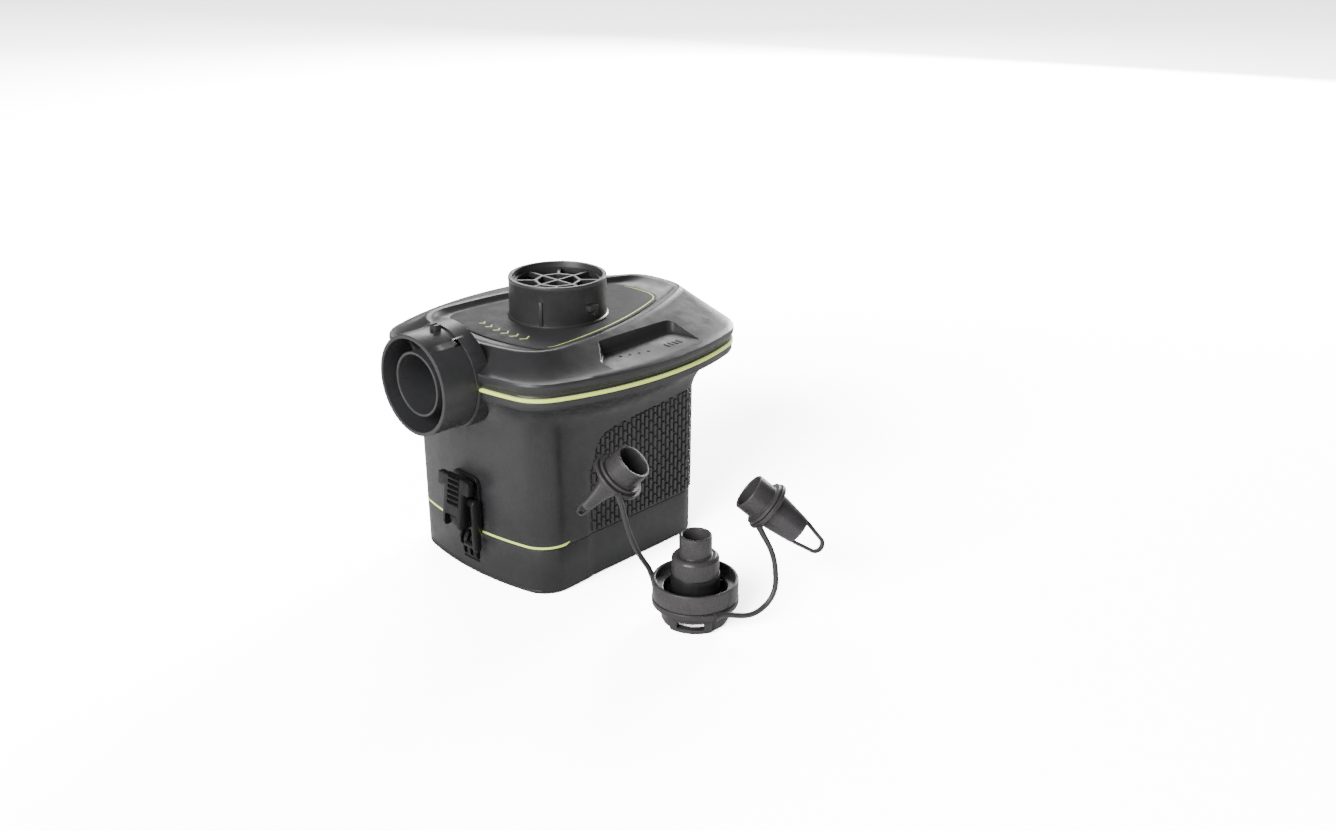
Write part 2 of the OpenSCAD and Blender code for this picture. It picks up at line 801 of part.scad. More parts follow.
// A profile in the YZ plane, extruded across the latch
module across_slice(x0, x1, shape) {
    translate([x0, 0, 0]) rotate([90, 0, 90]) linear_extrude(x1 - x0) polygon(shape);
}

module latch_lever() {
    stem = [
        [-62.2, 24.2], [-63.3, 25.2], [-61, 43.5], [-60.3, 47.2], [-57.4, 47.2], [-56.8, 43], [-55.5, 39.2],
        [-55.5, 31], [-55.4, 27.6], [-57, 24.4]
    ];
    head = [[-61.1, 41], [-60.3, 47.2], [-57.6, 47.2], [-57.6, 41]];
    color(black) difference() {
        union() {
            across_slice(-lever_half, lever_half, stem);
            across_slice(-head_half, head_half, head);
            across(pivot, lever_half, 3);
            for (i = [0:rib_count - 1]) {
                z = rib_from + i * rib_pitch;
                face_y = -61 - lever_lean * (43.5 - z);
                translate([rib_middle, 0, 0]) across([face_y, z], rib_half, 0.55);
            }
        }
        block([-3.7, -70, 20], [3.7, -50, pivot.y + 4]);
        across(pivot, 20, latch_pin_r + run);
        across(bail_axis, 20, latch_pin_r);
    }
}

module latch_pin() {
    color(steel) across(pivot, lever_half, latch_pin_r);
}

module bail_pin() {
    color(steel) union() {
        translate([(arm_x + arm_t - lever_half - 1) / 2, 0, 0]) {
            across(bail_axis, (arm_x + arm_t + lever_half + 1) / 2, latch_pin_r);
        }
        translate([-lever_half - 0.7, 0, 0]) across(bail_axis, 0.6, 1.9);
    }
}

// One arm beside the lever, with an eye on the pin and a short bar turned inwards at its foot
module latch_bail() {
    color(black) difference() {
        union() {
            translate([arm_x, 0, 0]) rotate([90, 0, 90]) linear_extrude(arm_t) hull() {
                translate(bail_axis) circle(r = eye_r);
                translate(bar_axis) circle(r = arm_r);
            }
            translate([(arm_x + 2.5) / 2, 0, 0]) across(bar_axis, (arm_x - 1.5) / 2, bar_r);
        }
        across(bail_axis, 20, latch_pin_r + run);
    }
}

module latch_keeper() {
    lip_y = bar_axis.x + bar_r + 0.3;
    color(black) across_slice(-keeper_half, keeper_half, [
        [pad_y, 7.2], [-53.6, 7.2], [-54.2, 9], [-54.4, 12.4],
        [lip_y, 13.6], [lip_y, 16.6], [-54.6, 19], [pad_y, 19]
    ]);
}

module hinge_pin() {
    color(steel) across(hinge, 20, hinge_pin_r);
}

module housing_screws() {
    color(steel) mirrored() for (b = boss_at) translate([b.x, b.y, 0]) {
        translate([0, 0, 70]) cylinder(h = 2, r = 3);
        translate([0, 0, 72 - e]) cylinder(h = 22, r = 1.5);
    }
}

// ---- Nozzle set ----

ledge_z = 6;

module adapter_cup() {
    well_r = step_r + 3.3;
    color(smoke) translate([adapter_at.x, adapter_at.y, 0]) difference() {
        rotate_extrude() polygon([
            [11.8, 0], [13.2, 0], [13.8, 1.2], [13.8, 5.4],
            [15.3, 7.2], [15.3, 10.4], [skirt_r, 10.4], [skirt_r, 18.3],
            [skirt_r - 1.3, 18.3], [skirt_r - 1.3, 15], [well_r, 14.4], [well_r, ledge_z], [11.8, ledge_z]
        ]);
        for (a = [-55, 125]) rotate([0, 0, a]) block([10, -5.4, 2.2], [16, 5.4, 4.8]);
    }
}

module adapter_nozzle() {
    well_r = step_r + 3.3;
    color(smoke) translate([adapter_at.x, adapter_at.y, 0]) difference() {
        union() {
            translate([0, 0, ledge_z]) cylinder(h = 1.8, r = well_r - gap);
            translate([0, 0, ledge_z]) cylinder(h = 21.6, r = step_r);
            translate([0, 0, ledge_z + 21.6]) cylinder(h = 1.2, r1 = step_r, r2 = step_r - 1.2);
            translate([0, 0, ledge_z]) cylinder(h = 37.4 - ledge_z, r = spout_r);
        }
        translate([0, 0, ledge_z - 1]) cylinder(h = 21, r = step_r - 1.5);
        translate([0, 0, 0]) cylinder(h = 40, r = spout_r - 1.3);
    }
}

// Dark sleeve round the column, with an eight-sided foot in the well
module adapter_seal() {
    foot_z = ledge_z + 1.8;
    color(black) translate([adapter_at.x, adapter_at.y, foot_z]) difference() {
        union() {
            rotate([0, 0, 22.5]) cylinder(h = 4.2, r = step_r + 2.9, $fn = 8);
            cylinder(h = 13, r = step_r + 0.35);
        }
        translate([0, 0, -1]) cylinder(h = 20, r = step_r + run);
    }
}

module strap_ring() {
    color(smoke) translate([adapter_at.x, adapter_at.y, 7.6]) difference() {
        union() {
            cylinder(h = 2.6, r = skirt_r + 0.2);
            rotate([0, 0, 196]) block([skirt_r - 1, -1.6, 0], [skirt_r + 1, 1.6, 2.6]);
            rotate([0, 0, -22.4]) block([skirt_r - 1.4, -4, 0], [skirt_r + 0.8, 4.5, 2.6]);
        }
        translate([0, 0, -1]) cylinder(h = 5, r = 15.3 + gap);
    }
}

module tether_left() {
    color(smoke) sweep(left_route, tether_d, 8);
}

module tether_right() {
    color(smoke) sweep(right_route, tether_d, 8);
}

// Carries a nozzle drawn along +Z from its mouth to its pose
module posed(pose) {
    translate(pose[0]) rotate([0, 90 + pose[2], pose[1]]) rotate([0, 0, pose[3]])
        translate([0, 0, -(ring_from + ring_to) / 2]) children();
}

module slim_tether_ring() {
    color(smoke) posed(slim_pose) tether_ring(slim_ring_r, 7.5);
}

module loop_tether_ring() {
    color(smoke) posed(loop_pose) tether_ring(loop_ring_r, 7.8);
}

module tether_ring(outer, inner) {
    translate([0, 0, ring_from]) difference() {
        cylinder(h = ring_to - ring_from, r = outer);
        translate([0, 0, -1]) cylinder(h = 5, r = inner + gap);
    }
}

// The socket end that both nozzles share, as the outer side of a turned profile
socket_bore = 6.65;
function socket_side(r, neck) = [
    [socket_bore, 0], [r, 0], [r, collar_from], [9.8, collar_from],
    [9.8, collar_to], [neck, collar_to], [neck, ring_to]
];

// Short cone that ends in a flat tip with a square window
module slim_nozzle() {
    tip_half = 1.3;
    neck_half = 2.35;
    color(smoke) posed(slim_pose) {
        rotate_extrude() polygon(concat(
            socket_side(8, 7.5),
            [[6.8, 12], [5.3, 16], [3.4, 22.6], [neck_half, 31]],
            [[1.4, 31], [2.3, 22.6], [4.2, 16], [socket_bore, 9.5]]
        ));
        rotate([90, 0, 90]) translate([0, 0, -1.2]) linear_extrude(2.4) difference() {
            polygon([
                [-neck_half, 30.6], [neck_half, 30.6],
                [tip_half + 0.3, slim_len], [-tip_half - 0.3, slim_len]
            ]);
            polygon([
                [-1.5, 31.6], [1.5, 31.6],
                [tip_half - 0.4, slim_len - 0.8], [-tip_half + 0.4, slim_len - 0.8]
            ]);
        }
    }
}

// Longer cone that ends in an oval hanging loop
module loop_nozzle() {
    tip_r = 4;
    strip = 1.7;
    cone_end = 26.4;
    end_r = 5.85;
    centre = loop_len - tip_r;
    color(smoke) posed(loop_pose) {
        rotate_extrude() polygon(concat(
            socket_side(7.85, 7.8),
            [[7.7, 12], [end_r, cone_end], [end_r - 1.1, cone_end], [socket_bore, 12]]
        ));
        rotate([90, 0, 90]) translate([0, 0, -1.3]) linear_extrude(2.6) difference() {
            union() {
                translate([0, centre]) circle(r = tip_r);
                polygon([[-end_r, cone_end - 1], [end_r, cone_end - 1], [tip_r, centre], [-tip_r, centre]]);
            }
            translate([0, centre]) circle(r = tip_r - strip);
            polygon([
                [-end_r + strip, cone_end - 2], [end_r - strip, cone_end - 2],
                [tip_r - strip, centre], [-tip_r + strip, centre]
            ]);
        }
    }
}

main_housing();
top_cover();
battery_cover();
upper_trim();
lower_trim();
deck_label();
inlet_port();
inlet_grille();
outlet_port();
outlet_core();
fan_scroll();
fan_lid();
impeller();
motor_can();
motor_magnets();
motor_end_cap();
motor_bushes();
motor_shaft();
armature();
commutator();
battery_partition();
cell_cradle();
battery_cells();
top_contacts();
cover_contacts();
cover_springs();
wires();
switch_frame();
switch_rocker();
latch_base();
latch_lever();
latch_pin();
latch_bail();
bail_pin();
latch_keeper();
hinge_pin();
housing_screws();
adapter_cup();
adapter_nozzle();
adapter_seal();
strap_ring();
tether_left();
tether_right();
slim_tether_ring();
loop_tether_ring();
slim_nozzle();
loop_nozzle();
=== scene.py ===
"""Battery air pump for mattresses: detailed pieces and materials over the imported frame.

Lengths in this script are millimetres until a piece is built, when MM turns them into metres.
"""

import json
import math

import bmesh
import bpy
from mathutils import Matrix, Vector


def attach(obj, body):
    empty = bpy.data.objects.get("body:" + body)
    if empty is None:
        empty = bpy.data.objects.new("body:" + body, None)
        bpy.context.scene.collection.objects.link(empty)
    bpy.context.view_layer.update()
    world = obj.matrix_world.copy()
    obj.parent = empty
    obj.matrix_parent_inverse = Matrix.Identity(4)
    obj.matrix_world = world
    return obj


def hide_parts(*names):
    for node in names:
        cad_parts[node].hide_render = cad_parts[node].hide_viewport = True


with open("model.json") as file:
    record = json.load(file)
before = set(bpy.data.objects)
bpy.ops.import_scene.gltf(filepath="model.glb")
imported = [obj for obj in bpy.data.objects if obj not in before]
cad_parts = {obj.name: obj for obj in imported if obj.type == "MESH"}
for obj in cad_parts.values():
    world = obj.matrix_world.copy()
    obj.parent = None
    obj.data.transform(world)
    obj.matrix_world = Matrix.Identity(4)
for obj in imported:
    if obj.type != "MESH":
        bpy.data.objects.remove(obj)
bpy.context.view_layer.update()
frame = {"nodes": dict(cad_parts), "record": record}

MM = 0.001
NODES = frame["nodes"]

# ---- Sizes shared with the CAD, in millimetres ----

# Each plan: [front y, front radius, side x, side y, side radius, rear y, rear radius, then the radius of
# the front corner and of the rear corner]
BODY = (53.2, 141, 42.8, 0, 4000, 49.9, 279, 13.5, 14)
FLANGE = (62.2, 190, 63.5, 7, 134, 70, 115, 19, 22)
CREST = (52.4, 95, 39.8, -30, 190, 66, 62, 17, 14)
RIM = (49.4, 92, 36.8, -30, 187, 63, 59, 14, 11)
DECK = (44.4, 87, 33.6, -30, 182, 57, 54, 10, 8)
LABEL = (40.5, 84, 32.6, -30, 182, 51, 50, 9, 13)

WALL = 2.2
COVER_TOP = 20.7
SEAM_Z = 90.5
LID_Z = 92.1
CREST_Z = 106.0
DECK_Z = 103.5
PORT_Y = 1.0
PORT_R = 21.0
OUTLET_Z = 92.1
HOOD_R = 22.4
HINGE_Y = 52.9
HINGE_Z = 20.2
HOUSING_KNUCKLE_X = 16.9
COVER_KNUCKLE_X = 10.25
PANEL_EDGE_Y = -23.3
PANEL_DEPTH = 0.7
PLATE_EDGE_Y = -47.0
PLATE_DEPTH = 0.3
PLATE_FROM = 1.6

# ---- Camera ----


def add_camera():
    data = bpy.data.cameras.new("camera")
    data.lens = 38.0
    data.sensor_width = 36.0
    data.clip_start = 0.01
    data.clip_end = 20
    camera = bpy.data.objects.new("camera", data)
    bpy.context.collection.objects.link(camera)
    camera.location = (0.4335, -0.3852, 0.2910)
    target = Vector((0.03563, 0.03189, 0.05736))
    camera.rotation_euler = (target - camera.location).to_track_quat("-Z", "Y").to_euler()
    bpy.context.scene.camera = camera


add_camera()

# ---- Materials ----


class Shader:
    """A small helper that wires one material's nodes, in object coordinates (metres)."""

    def __init__(self, name):
        self.material = bpy.data.materials.new(name)
        self.material.use_nodes = True
        self.tree = self.material.node_tree
        self.bsdf = self.tree.nodes["Principled BSDF"]
        self.coords = self.tree.nodes.new("ShaderNodeTexCoord").outputs["Object"]

    def node(self, kind, **values):
        made = self.tree.nodes.new(kind)
        for key, value in values.items():
            if hasattr(made, key):
                setattr(made, key, value)
            else:
                made.inputs[key.replace("_", " ")].default_value = value
        return made

    def link(self, a, b):
        self.tree.links.new(a, b)

    def noise(self, scale, detail=2.0, roughness=0.5, stretch=None):
        made = self.node("ShaderNodeTexNoise", Scale=scale, Detail=detail, Roughness=roughness)
        source = self.coords
        if stretch:
            mapping = self.node("ShaderNodeMapping")
            mapping.inputs["Scale"].default_value = stretch
            self.link(self.coords, mapping.inputs["Vector"])
            source = mapping.outputs["Vector"]
        self.link(source, made.inputs["Vector"])
        return made.outputs["Fac"]

    def spread(self, value, low, high, start=0.35, end=0.65):
        """Maps a noise value from start..end to low..high."""
        made = self.node("ShaderNodeMapRange")
        for socket, number in (("From Min", start), ("From Max", end), ("To Min", low), ("To Max", high)):
            made.inputs[socket].default_value = number
        self.link(value, made.inputs["Value"])
        return made.outputs["Result"]

    def mix(self, factor, a, b):
        made = self.tree.nodes.new("ShaderNodeMix")
        made.data_type = "RGBA"
        self.link(factor, made.inputs["Factor"])
        for socket, value in ((made.inputs[6], a), (made.inputs[7], b)):
            if isinstance(value, (tuple, list)):
                socket.default_value = (*value, 1)
            else:
                self.link(value, socket)
        return made.outputs[2]

    def bump(self, height, strength, distance, before=None):
        made = self.node("ShaderNodeBump", Strength=strength, Distance=distance)
        self.link(height, made.inputs["Height"])
        if before:
            self.link(before, made.inputs["Normal"])
        return made.outputs["Normal"]


def plastic(name, colour, roughness, grain=900, grain_depth=0.00006, mottle=0.12, wear=0.25, shine=0.42):
    """Moulded plastic: fine grain, faint flow mottling, dust in the gloss and paler worn edges."""
    s = Shader(name)
    cloud = s.spread(s.noise(45, 4, 0.6), 0, 1)
    dark = tuple(c * (1 - mottle) for c in colour)
    pale = tuple(min(1, c * (1 + mottle)) for c in colour)
    tone = s.mix(cloud, dark, pale)
    if wear:
        point = s.tree.nodes.new("ShaderNodeNewGeometry").outputs["Pointiness"]
        edge = s.spread(point, 0, wear, 0.52, 0.62)
        tone = s.mix(edge, tone, tuple(min(1, c * 2.2 + 0.02) for c in colour))
    s.link(tone, s.bsdf.inputs["Base Color"])
    s.link(s.spread(s.noise(160, 3, 0.6), roughness - 0.05, roughness + 0.06), s.bsdf.inputs["Roughness"])
    rounded = s.node("ShaderNodeBevel", samples=4, Radius=0.0003).outputs["Normal"]
    s.link(s.bump(s.noise(grain, 3, 0.55), 0.5, grain_depth, rounded), s.bsdf.inputs["Normal"])
    s.bsdf.inputs["Specular IOR Level"].default_value = shine
    return s.material


def plastic_with_painted_glow(name, colour, *args):
    """Plastic with a fluorescent dye and a painted glow: a faint emission makes it look brighter than a plain
    colour does in the same light.
    """
    material = plastic(name, colour, *args)
    bsdf = material.node_tree.nodes["Principled BSDF"]
    # Painted glow: this emission brightens the colour though the piece is no lamp
    bsdf.inputs["Emission Color"].default_value = (*colour, 1)
    bsdf.inputs["Emission Strength"].default_value = 0.35
    return material


def metal(name, colour, roughness, stretch):
    """Drawn or turned metal: streaks along one direction and a little tarnish."""
    s = Shader(name)
    streak = s.noise(900, 3, 0.6, stretch)
    tarnish = s.spread(s.noise(120, 4, 0.6), 0, 1, 0.45, 0.7)
    s.link(s.mix(tarnish, colour, tuple(c * 0.72 for c in colour)), s.bsdf.inputs["Base Color"])
    s.link(s.spread(streak, roughness - 0.06, roughness + 0.1), s.bsdf.inputs["Roughness"])
    s.link(s.bump(streak, 0.4, 0.00002), s.bsdf.inputs["Normal"])
    s.bsdf.inputs["Metallic"].default_value = 1.0
    return s.material


def windings(name):
    """Enamelled copper wire laid side by side."""
    s = Shader(name)
    wave = s.node("ShaderNodeTexWave", Scale=900.0, Distortion=0.6, bands_direction="Z")
    s.link(s.coords, wave.inputs["Vector"])
    s.link(s.mix(wave.outputs["Fac"], (0.16, 0.05, 0.015), (0.72, 0.3, 0.1)), s.bsdf.inputs["Base Color"])
    s.link(s.bump(wave.outputs["Fac"], 0.8, 0.0002), s.bsdf.inputs["Normal"])
    s.link(s.spread(s.noise(300), 0.25, 0.4), s.bsdf.inputs["Roughness"])
    s.bsdf.inputs["Metallic"].default_value = 0.7
    return s.material


def cell_sleeve(name):
    """A cell's printed sleeve: dark wrap with a paler band round its upper end."""
    s = Shader(name)
    height = s.node("ShaderNodeSeparateXYZ")
    s.link(s.coords, height.inputs["Vector"])
    band = s.spread(height.outputs["Z"], 0, 1, 0.0415, 0.0418)
    s.link(s.mix(band, (0.02, 0.024, 0.035), (0.62, 0.36, 0.08)), s.bsdf.inputs["Base Color"])
    s.link(s.spread(s.noise(90, 3), 0.2, 0.34), s.bsdf.inputs["Roughness"])
    s.link(s.bump(s.noise(500, 2), 0.3, 0.00003), s.bsdf.inputs["Normal"])
    s.bsdf.inputs["Coat Weight"].default_value = 0.4
    return s.material


MATERIALS = {
    "housing_plastic": plastic("housing_plastic", (0.029, 0.029, 0.0305), 0.37),
    "lime_trim": plastic_with_painted_glow("lime_trim", (0.78, 0.95, 0.2), 0.42, 700, 0.00003, 0.06, 0),
    "label": plastic("label", (0.05, 0.05, 0.0525), 0.55, 1600, 0.00002, 0.04, 0, 0.1),
    "inner_plastic": plastic("inner_plastic", (0.014, 0.014, 0.015), 0.5),
    "black_plastic": plastic("black_plastic", (0.009, 0.009, 0.0095), 0.34, 1100, 0.00003, 0.15, 0.3, 0.25),
    "steel": metal("steel", (0.62, 0.62, 0.64), 0.3, (1, 1, 12)),
    "ferrite": plastic("ferrite", (0.05, 0.05, 0.052), 0.62, 1400, 0.0001, 0.2, 0),
    "bronze": metal("bronze", (0.72, 0.48, 0.22), 0.32, (8, 8, 1)),
    "windings": windings("windings"),
    "cell_wrap": cell_sleeve("cell_wrap"),
    "wire_insulation": plastic("wire_insulation", (0.42, 0.02, 0.015), 0.35, 800, 0.00003, 0.1, 0),
    "nozzle_plastic": plastic("nozzle_plastic", (0.05, 0.047, 0.049), 0.28, 600, 0.00004, 0.08, 0.4),
    "tether_plastic": plastic("tether_plastic", (0.052, 0.049, 0.051), 0.34, 700, 0.00005, 0.1, 0),
}

for part in frame["record"]["subparts"]:
    shown = NODES[part["node"]]
    shown.data.materials.clear()
    shown.data.materials.append(MATERIALS[part["material_slot"]])

# ---- Mesh helpers ----


def add_object(name, mesh, slot, body, smooth=30):
    """Links a mesh that is already in metres as a finished piece on a body."""
    if smooth:
        for face in mesh.polygons:
            face.use_smooth = True
        mesh.set_sharp_from_angle(angle=math.radians(smooth))
    piece = bpy.data.objects.new(name, mesh)
    bpy.context.collection.objects.link(piece)
    mesh.materials.clear()
    mesh.materials.append(MATERIALS[slot])
    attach(piece, body)
    return piece


def mesh_from(name, vertices, faces):
    mesh = bpy.data.meshes.new(name)
    mesh.from_pydata([tuple(c * MM for c in v) for v in vertices], [], faces)
    return mesh


def tidy(mesh, reach=0.000002):
    work = bmesh.new()
    work.from_mesh(mesh)
    bmesh.ops.remove_doubles(work, verts=work.verts, dist=reach)
    bmesh.ops.dissolve_degenerate(work, edges=work.edges, dist=reach)
    bmesh.ops.recalc_face_normals(work, faces=work.faces)
    work.to_mesh(mesh)
    work.free()
    return mesh


def loft(name, rings, closed_profile=False):
    """A mesh through rings of equal length. The ends are capped unless the profile closes on itself."""
    n = len(rings[0])
    vertices = [v for ring in rings for v in ring]
    faces = []
    last = len(rings) if closed_profile else len(rings) - 1
    for j in range(last):
        k = (j + 1) % len(rings)
        for i in range(n):
            faces.append((j * n + i, j * n + (i + 1) % n, k * n + (i + 1) % n, k * n + i))
    if not closed_profile:
        faces.append(tuple(range(n - 1, -1, -1)))
        faces.append(tuple(range((len(rings) - 1) * n, len(rings) * n)))
    return tidy(mesh_from(name, vertices, faces))


def combine(base, tool, operation):
    """base with tool joined to it or cut from it, as an exact boolean. Both are meshes in metres."""
    a = bpy.data.objects.new("base", base)
    b = bpy.data.objects.new("tool", tool)
    for o in (a, b):
        bpy.context.collection.objects.link(o)
    step = a.modifiers.new("step", "BOOLEAN")
    step.operation = operation
    step.solver = "EXACT"
    step.object = b
    result = bpy.data.meshes.new_from_object(a.evaluated_get(bpy.context.evaluated_depsgraph_get()))
    for o in (a, b):
        bpy.data.objects.remove(o)
    return result


def turned(profile, steps=96, closed=True):
    """A mesh turned about Z from (radius, z) points."""
    rings = []
    for k in range(steps):
        a = 2 * math.pi * k / steps
        rings.append([(r * math.cos(a), r * math.sin(a), z) for r, z in profile])
    n = len(profile)
    vertices = [v for ring in rings for v in ring]
    faces = []
    for k in range(steps):
        following = (k + 1) % steps
        for i in range(n if closed else n - 1):
            j = (i + 1) % n
            faces.append((k * n + i, following * n + i, following * n + j, k * n + j))
    return tidy(mesh_from("turned", vertices, faces))


def moved(mesh, matrix):
    mesh.transform(matrix)
    return mesh


def place(x, y, z):
    return Matrix.Translation((x * MM, y * MM, z * MM))


def turn(degrees, axis):
    return Matrix.Rotation(math.radians(degrees), 4, axis)


def along_outlet(y0, y1, r0, r1, steps=96):
    """A cylinder or cone round the outlet's axis, from y0 forward to y1, counted towards the front."""
    mesh = turned([(0, y0), (r0, y0), (r1, y1), (0, y1)], steps, False)
    return moved(mesh, place(0, 0, OUTLET_Z) @ turn(90, "X"))


def brick(lo, hi, bevel=0.0):
    """A box between two corners, with its edges rounded by bevel."""
    work = bmesh.new()
    bmesh.ops.create_cube(work, size=1)
    size = [h - l for l, h in zip(lo, hi)]
    for v in work.verts:
        v.co = Vector([(l + h) / 2 + c * s for l, h, c, s in zip(lo, hi, v.co, size)]) * MM
    if bevel:
        bmesh.ops.bevel(work, geom=work.edges[:], offset=bevel * MM, segments=2, profile=0.5, affect="EDGES")
    mesh = bpy.data.meshes.new("brick")
    work.to_mesh(mesh)
    work.free()
    return mesh


def joined(name, meshes):
    """Several meshes as one."""
    work = bmesh.new()
    for mesh in meshes:
        work.from_mesh(mesh)
    result = bpy.data.meshes.new(name)
    work.to_mesh(result)
    work.free()
    return result


# ---- Outlines ----


def spot(centre, r, degrees):
    """The point at a radius and an angle about a centre."""
    a = math.radians(degrees)
    return (centre[0] + r * math.cos(a), centre[1] + r * math.sin(a))


def meet(a, ra, b, rb, side):
    """Where a circle at a of radius ra meets one at b of radius rb."""
    d = math.dist(a, b)
    u = ((b[0] - a[0]) / d, (b[1] - a[1]) / d)
    t = (d * d + ra * ra - rb * rb) / (2 * d)
    h = side * math.sqrt(ra * ra - t * t)
    return (a[0] + u[0] * t - u[1] * h, a[1] + u[1] * t + u[0] * h)


def even(n):
    return [i / n for i in range(n)]


# Where the points of each arc lie: front, front corner, flank, rear corner, rear
STEPS = [even(10), even(12), even(28), even(12), even(10)]


def flank_with_panel_edge():
    """Flank steps with two close points astride the grip panel's upright edge."""
    low, high = -34.9, 35.2
    edge = (PANEL_EDGE_Y - low) / (high - low)
    steps = [t for t in even(28) if abs(t - edge) > 0.012]
    return sorted(steps + [edge - 0.004, edge + 0.004])


def corner_with_plate_edge():
    """Front corner steps with two close points astride the upright edge of the cover's front plate."""
    edge = 0.36
    steps = [t for t in even(12) if abs(t - edge) > 0.03]
    return sorted(steps + [edge - 0.008, edge + 0.008])


PANEL_STEPS = [even(10), corner_with_plate_edge(), flank_with_panel_edge(), even(12), even(10)]


def plan(p, inset=0.0, steps=None):
    """The plan's outline, anticlockwise from the middle of the front, inset all round."""
    steps = steps or STEPS
    front = (0, p[1] - p[0])
    flank = (p[2] - p[4], p[3])
    rear = (0, p[5] - p[6])
    fc = meet(front, p[1] - p[7], flank, p[4] - p[7], 1)
    rc = meet(rear, p[6] - p[8], flank, p[4] - p[8], -1)

    def angle(c, o):
        return math.degrees(math.atan2(c[1] - o[1], c[0] - o[0]))

    spans = [
        (front, p[1], -90, angle(fc, front)),
        (fc, p[7], angle(fc, front), angle(fc, flank)),
        (flank, p[4], angle(fc, flank), angle(rc, flank)),
        (rc, p[8], angle(rc, flank), angle(rc, rear)),
        (rear, p[6], angle(rc, rear), 90),
    ]
    half = []
    for (centre, radius, a0, a1), ts in zip(spans, steps):
        for t in ts:
            half.append(spot(centre, radius - inset, a0 + (a1 - a0) * t))
    top = (0, p[5] - inset)
    return half + [top] + [(-x, y) for x, y in reversed(half[1:])]


def blend(a, b, t):
    return [(ax + (bx - ax) * t, ay + (by - ay) * t) for (ax, ay), (bx, by) in zip(a, b)]


def at(outline, z):
    return [(x, y, z) for x, y in outline]


# ---- Main housing ----


def flare(z):
    """How far the housing has swept from the body's outline to the flange's."""
    return min(1.0, max(0.0, (z - 66) / 21.4)) ** 2.6


def panel_top(run):
    """Height of the grip panel's upper edge, run millimetres beyond its upright edge."""
    return 50 + 15.2 * (1 - math.exp(-run / 3.2)) + 0.085 * run


def panel_runs(outline):
    """For each point of an outline, its run beyond the panel's upright edge, or None outside."""
    half = len(outline) // 2
    runs = [None] * len(outline)
    run = 0.0
    for i in range(1, half + 1):
        x, y = outline[i]
        px, py = outline[i - 1]
        if y < PANEL_EDGE_Y or (y > 40 and x < 31):
            continue
        run = run + math.dist((x, y), (px, py)) if runs[i - 1] is not None else 0.1
        runs[i] = run
        runs[-i] = run
    return runs


def draft(z, y=0.0):
    """Inset of the body's outline at a height, for the mould's draft. It is slight at the front corners."""
    share = min(1.0, max(0.25, 0.25 + 0.75 * (y + 40) / 16))
    return 0.75 * share * (1 - min(1, z / 68))


LOWER_ROWS = 12
UPPER_Z = [71.5, 73, 74.5, 76, 77.5, 79, 80.5, 82, 83.3, 84.5, 85.6, 86.5, 87.2]


def housing_shell():
    outer_body = plan(BODY, 0, PANEL_STEPS)
    runs = panel_runs(outer_body)
    flange = plan(FLANGE, 0.65, PANEL_STEPS)
    lip = plan(FLANGE, 0.95, PANEL_STEPS)
    recess_top = [panel_top(r if r is not None else 0.1) for r in runs]
    rings = []

    def row(heights, sunk):
        ring = []
        for i, z in enumerate(heights):
            deep = draft(z, outer_body[i][1]) + (PANEL_DEPTH if sunk and runs[i] is not None else 0)
            body = plans(deep)[i]
            t = flare(z)
            ring.append((body[0] + (flange[i][0] - body[0]) * t, body[1] + (flange[i][1] - body[1]) * t, z))
        return ring

    cache = {}

    def plans(inset):
        key = round(inset, 2)
        if key not in cache:
            cache[key] = plan(BODY, key, PANEL_STEPS)
        return cache[key]

    bottom = COVER_TOP + 0.2
    for j in range(LOWER_ROWS + 1):
        t = j / LOWER_ROWS
        rings.append(row([bottom + (top - bottom) * t for top in recess_top], True))
    rings.append(row([top + 0.35 for top in recess_top], False))
    for t in (0.35, 0.7):
        rings.append(row([top + 0.35 + (UPPER_Z[0] - top - 0.35) * t for top in recess_top], False))
    for z in UPPER_Z:
        rings.append(row([z] * len(runs), False))
    rings += [at(blend(flange, lip, 1), 87.35), at(lip, 87.6), at(plan(FLANGE, 0.62, PANEL_STEPS), 87.9)]
    rings += [at(plan(FLANGE, 0.6, PANEL_STEPS), 90.1), at(plan(FLANGE, 0.9, PANEL_STEPS), SEAM_Z)]
    inner_flange = plan(FLANGE, 3, PANEL_STEPS)
    rings.append(at(inner_flange, SEAM_Z))
    inner_body = plan(BODY, WALL + 0.8, PANEL_STEPS)
    for z in (87.5, 84, 80, 76, 72):
        rings.append(at(blend(inner_body, inner_flange, flare(z) * 0.9), z))
    rings += [at(inner_body, 60), at(inner_body, bottom)]
    shell = loft("housing_shell", rings, True)
    hood = along_outlet(50, 61.6, HOOD_R, HOOD_R)
    hood = combine(hood, brick((-30, -70, 60), (30, -40, SEAM_Z)), "INTERSECT")
    shell = combine(shell, hood, "UNION")
    shell = combine(shell, along_outlet(40, 70, PORT_R + 0.1, PORT_R + 0.1), "DIFFERENCE")
    shell = combine(shell, brick((-11.2, 40, 59.3), (11.2, 60, 77.7)), "DIFFERENCE")
    shell = combine(shell, brick((-12.6, 50.1, 57.9), (12.6, 60, 79.1)), "DIFFERENCE")
    bosses = []
    for x in (-HOUSING_KNUCKLE_X, HOUSING_KNUCKLE_X):
        bosses.append(brick((x - 3.1, 48, COVER_TOP + 0.2), (x + 3.1, HINGE_Y, 25.5), 0.5))
        knuckle = turned([(1.2, -3.1), (2.6, -3.1), (2.6, 3.1), (1.2, 3.1)], 48)
        bosses.append(moved(knuckle, place(x, HINGE_Y, HINGE_Z) @ turn(90, "Y")))
    return joined("housing_shell", [shell] + bosses)


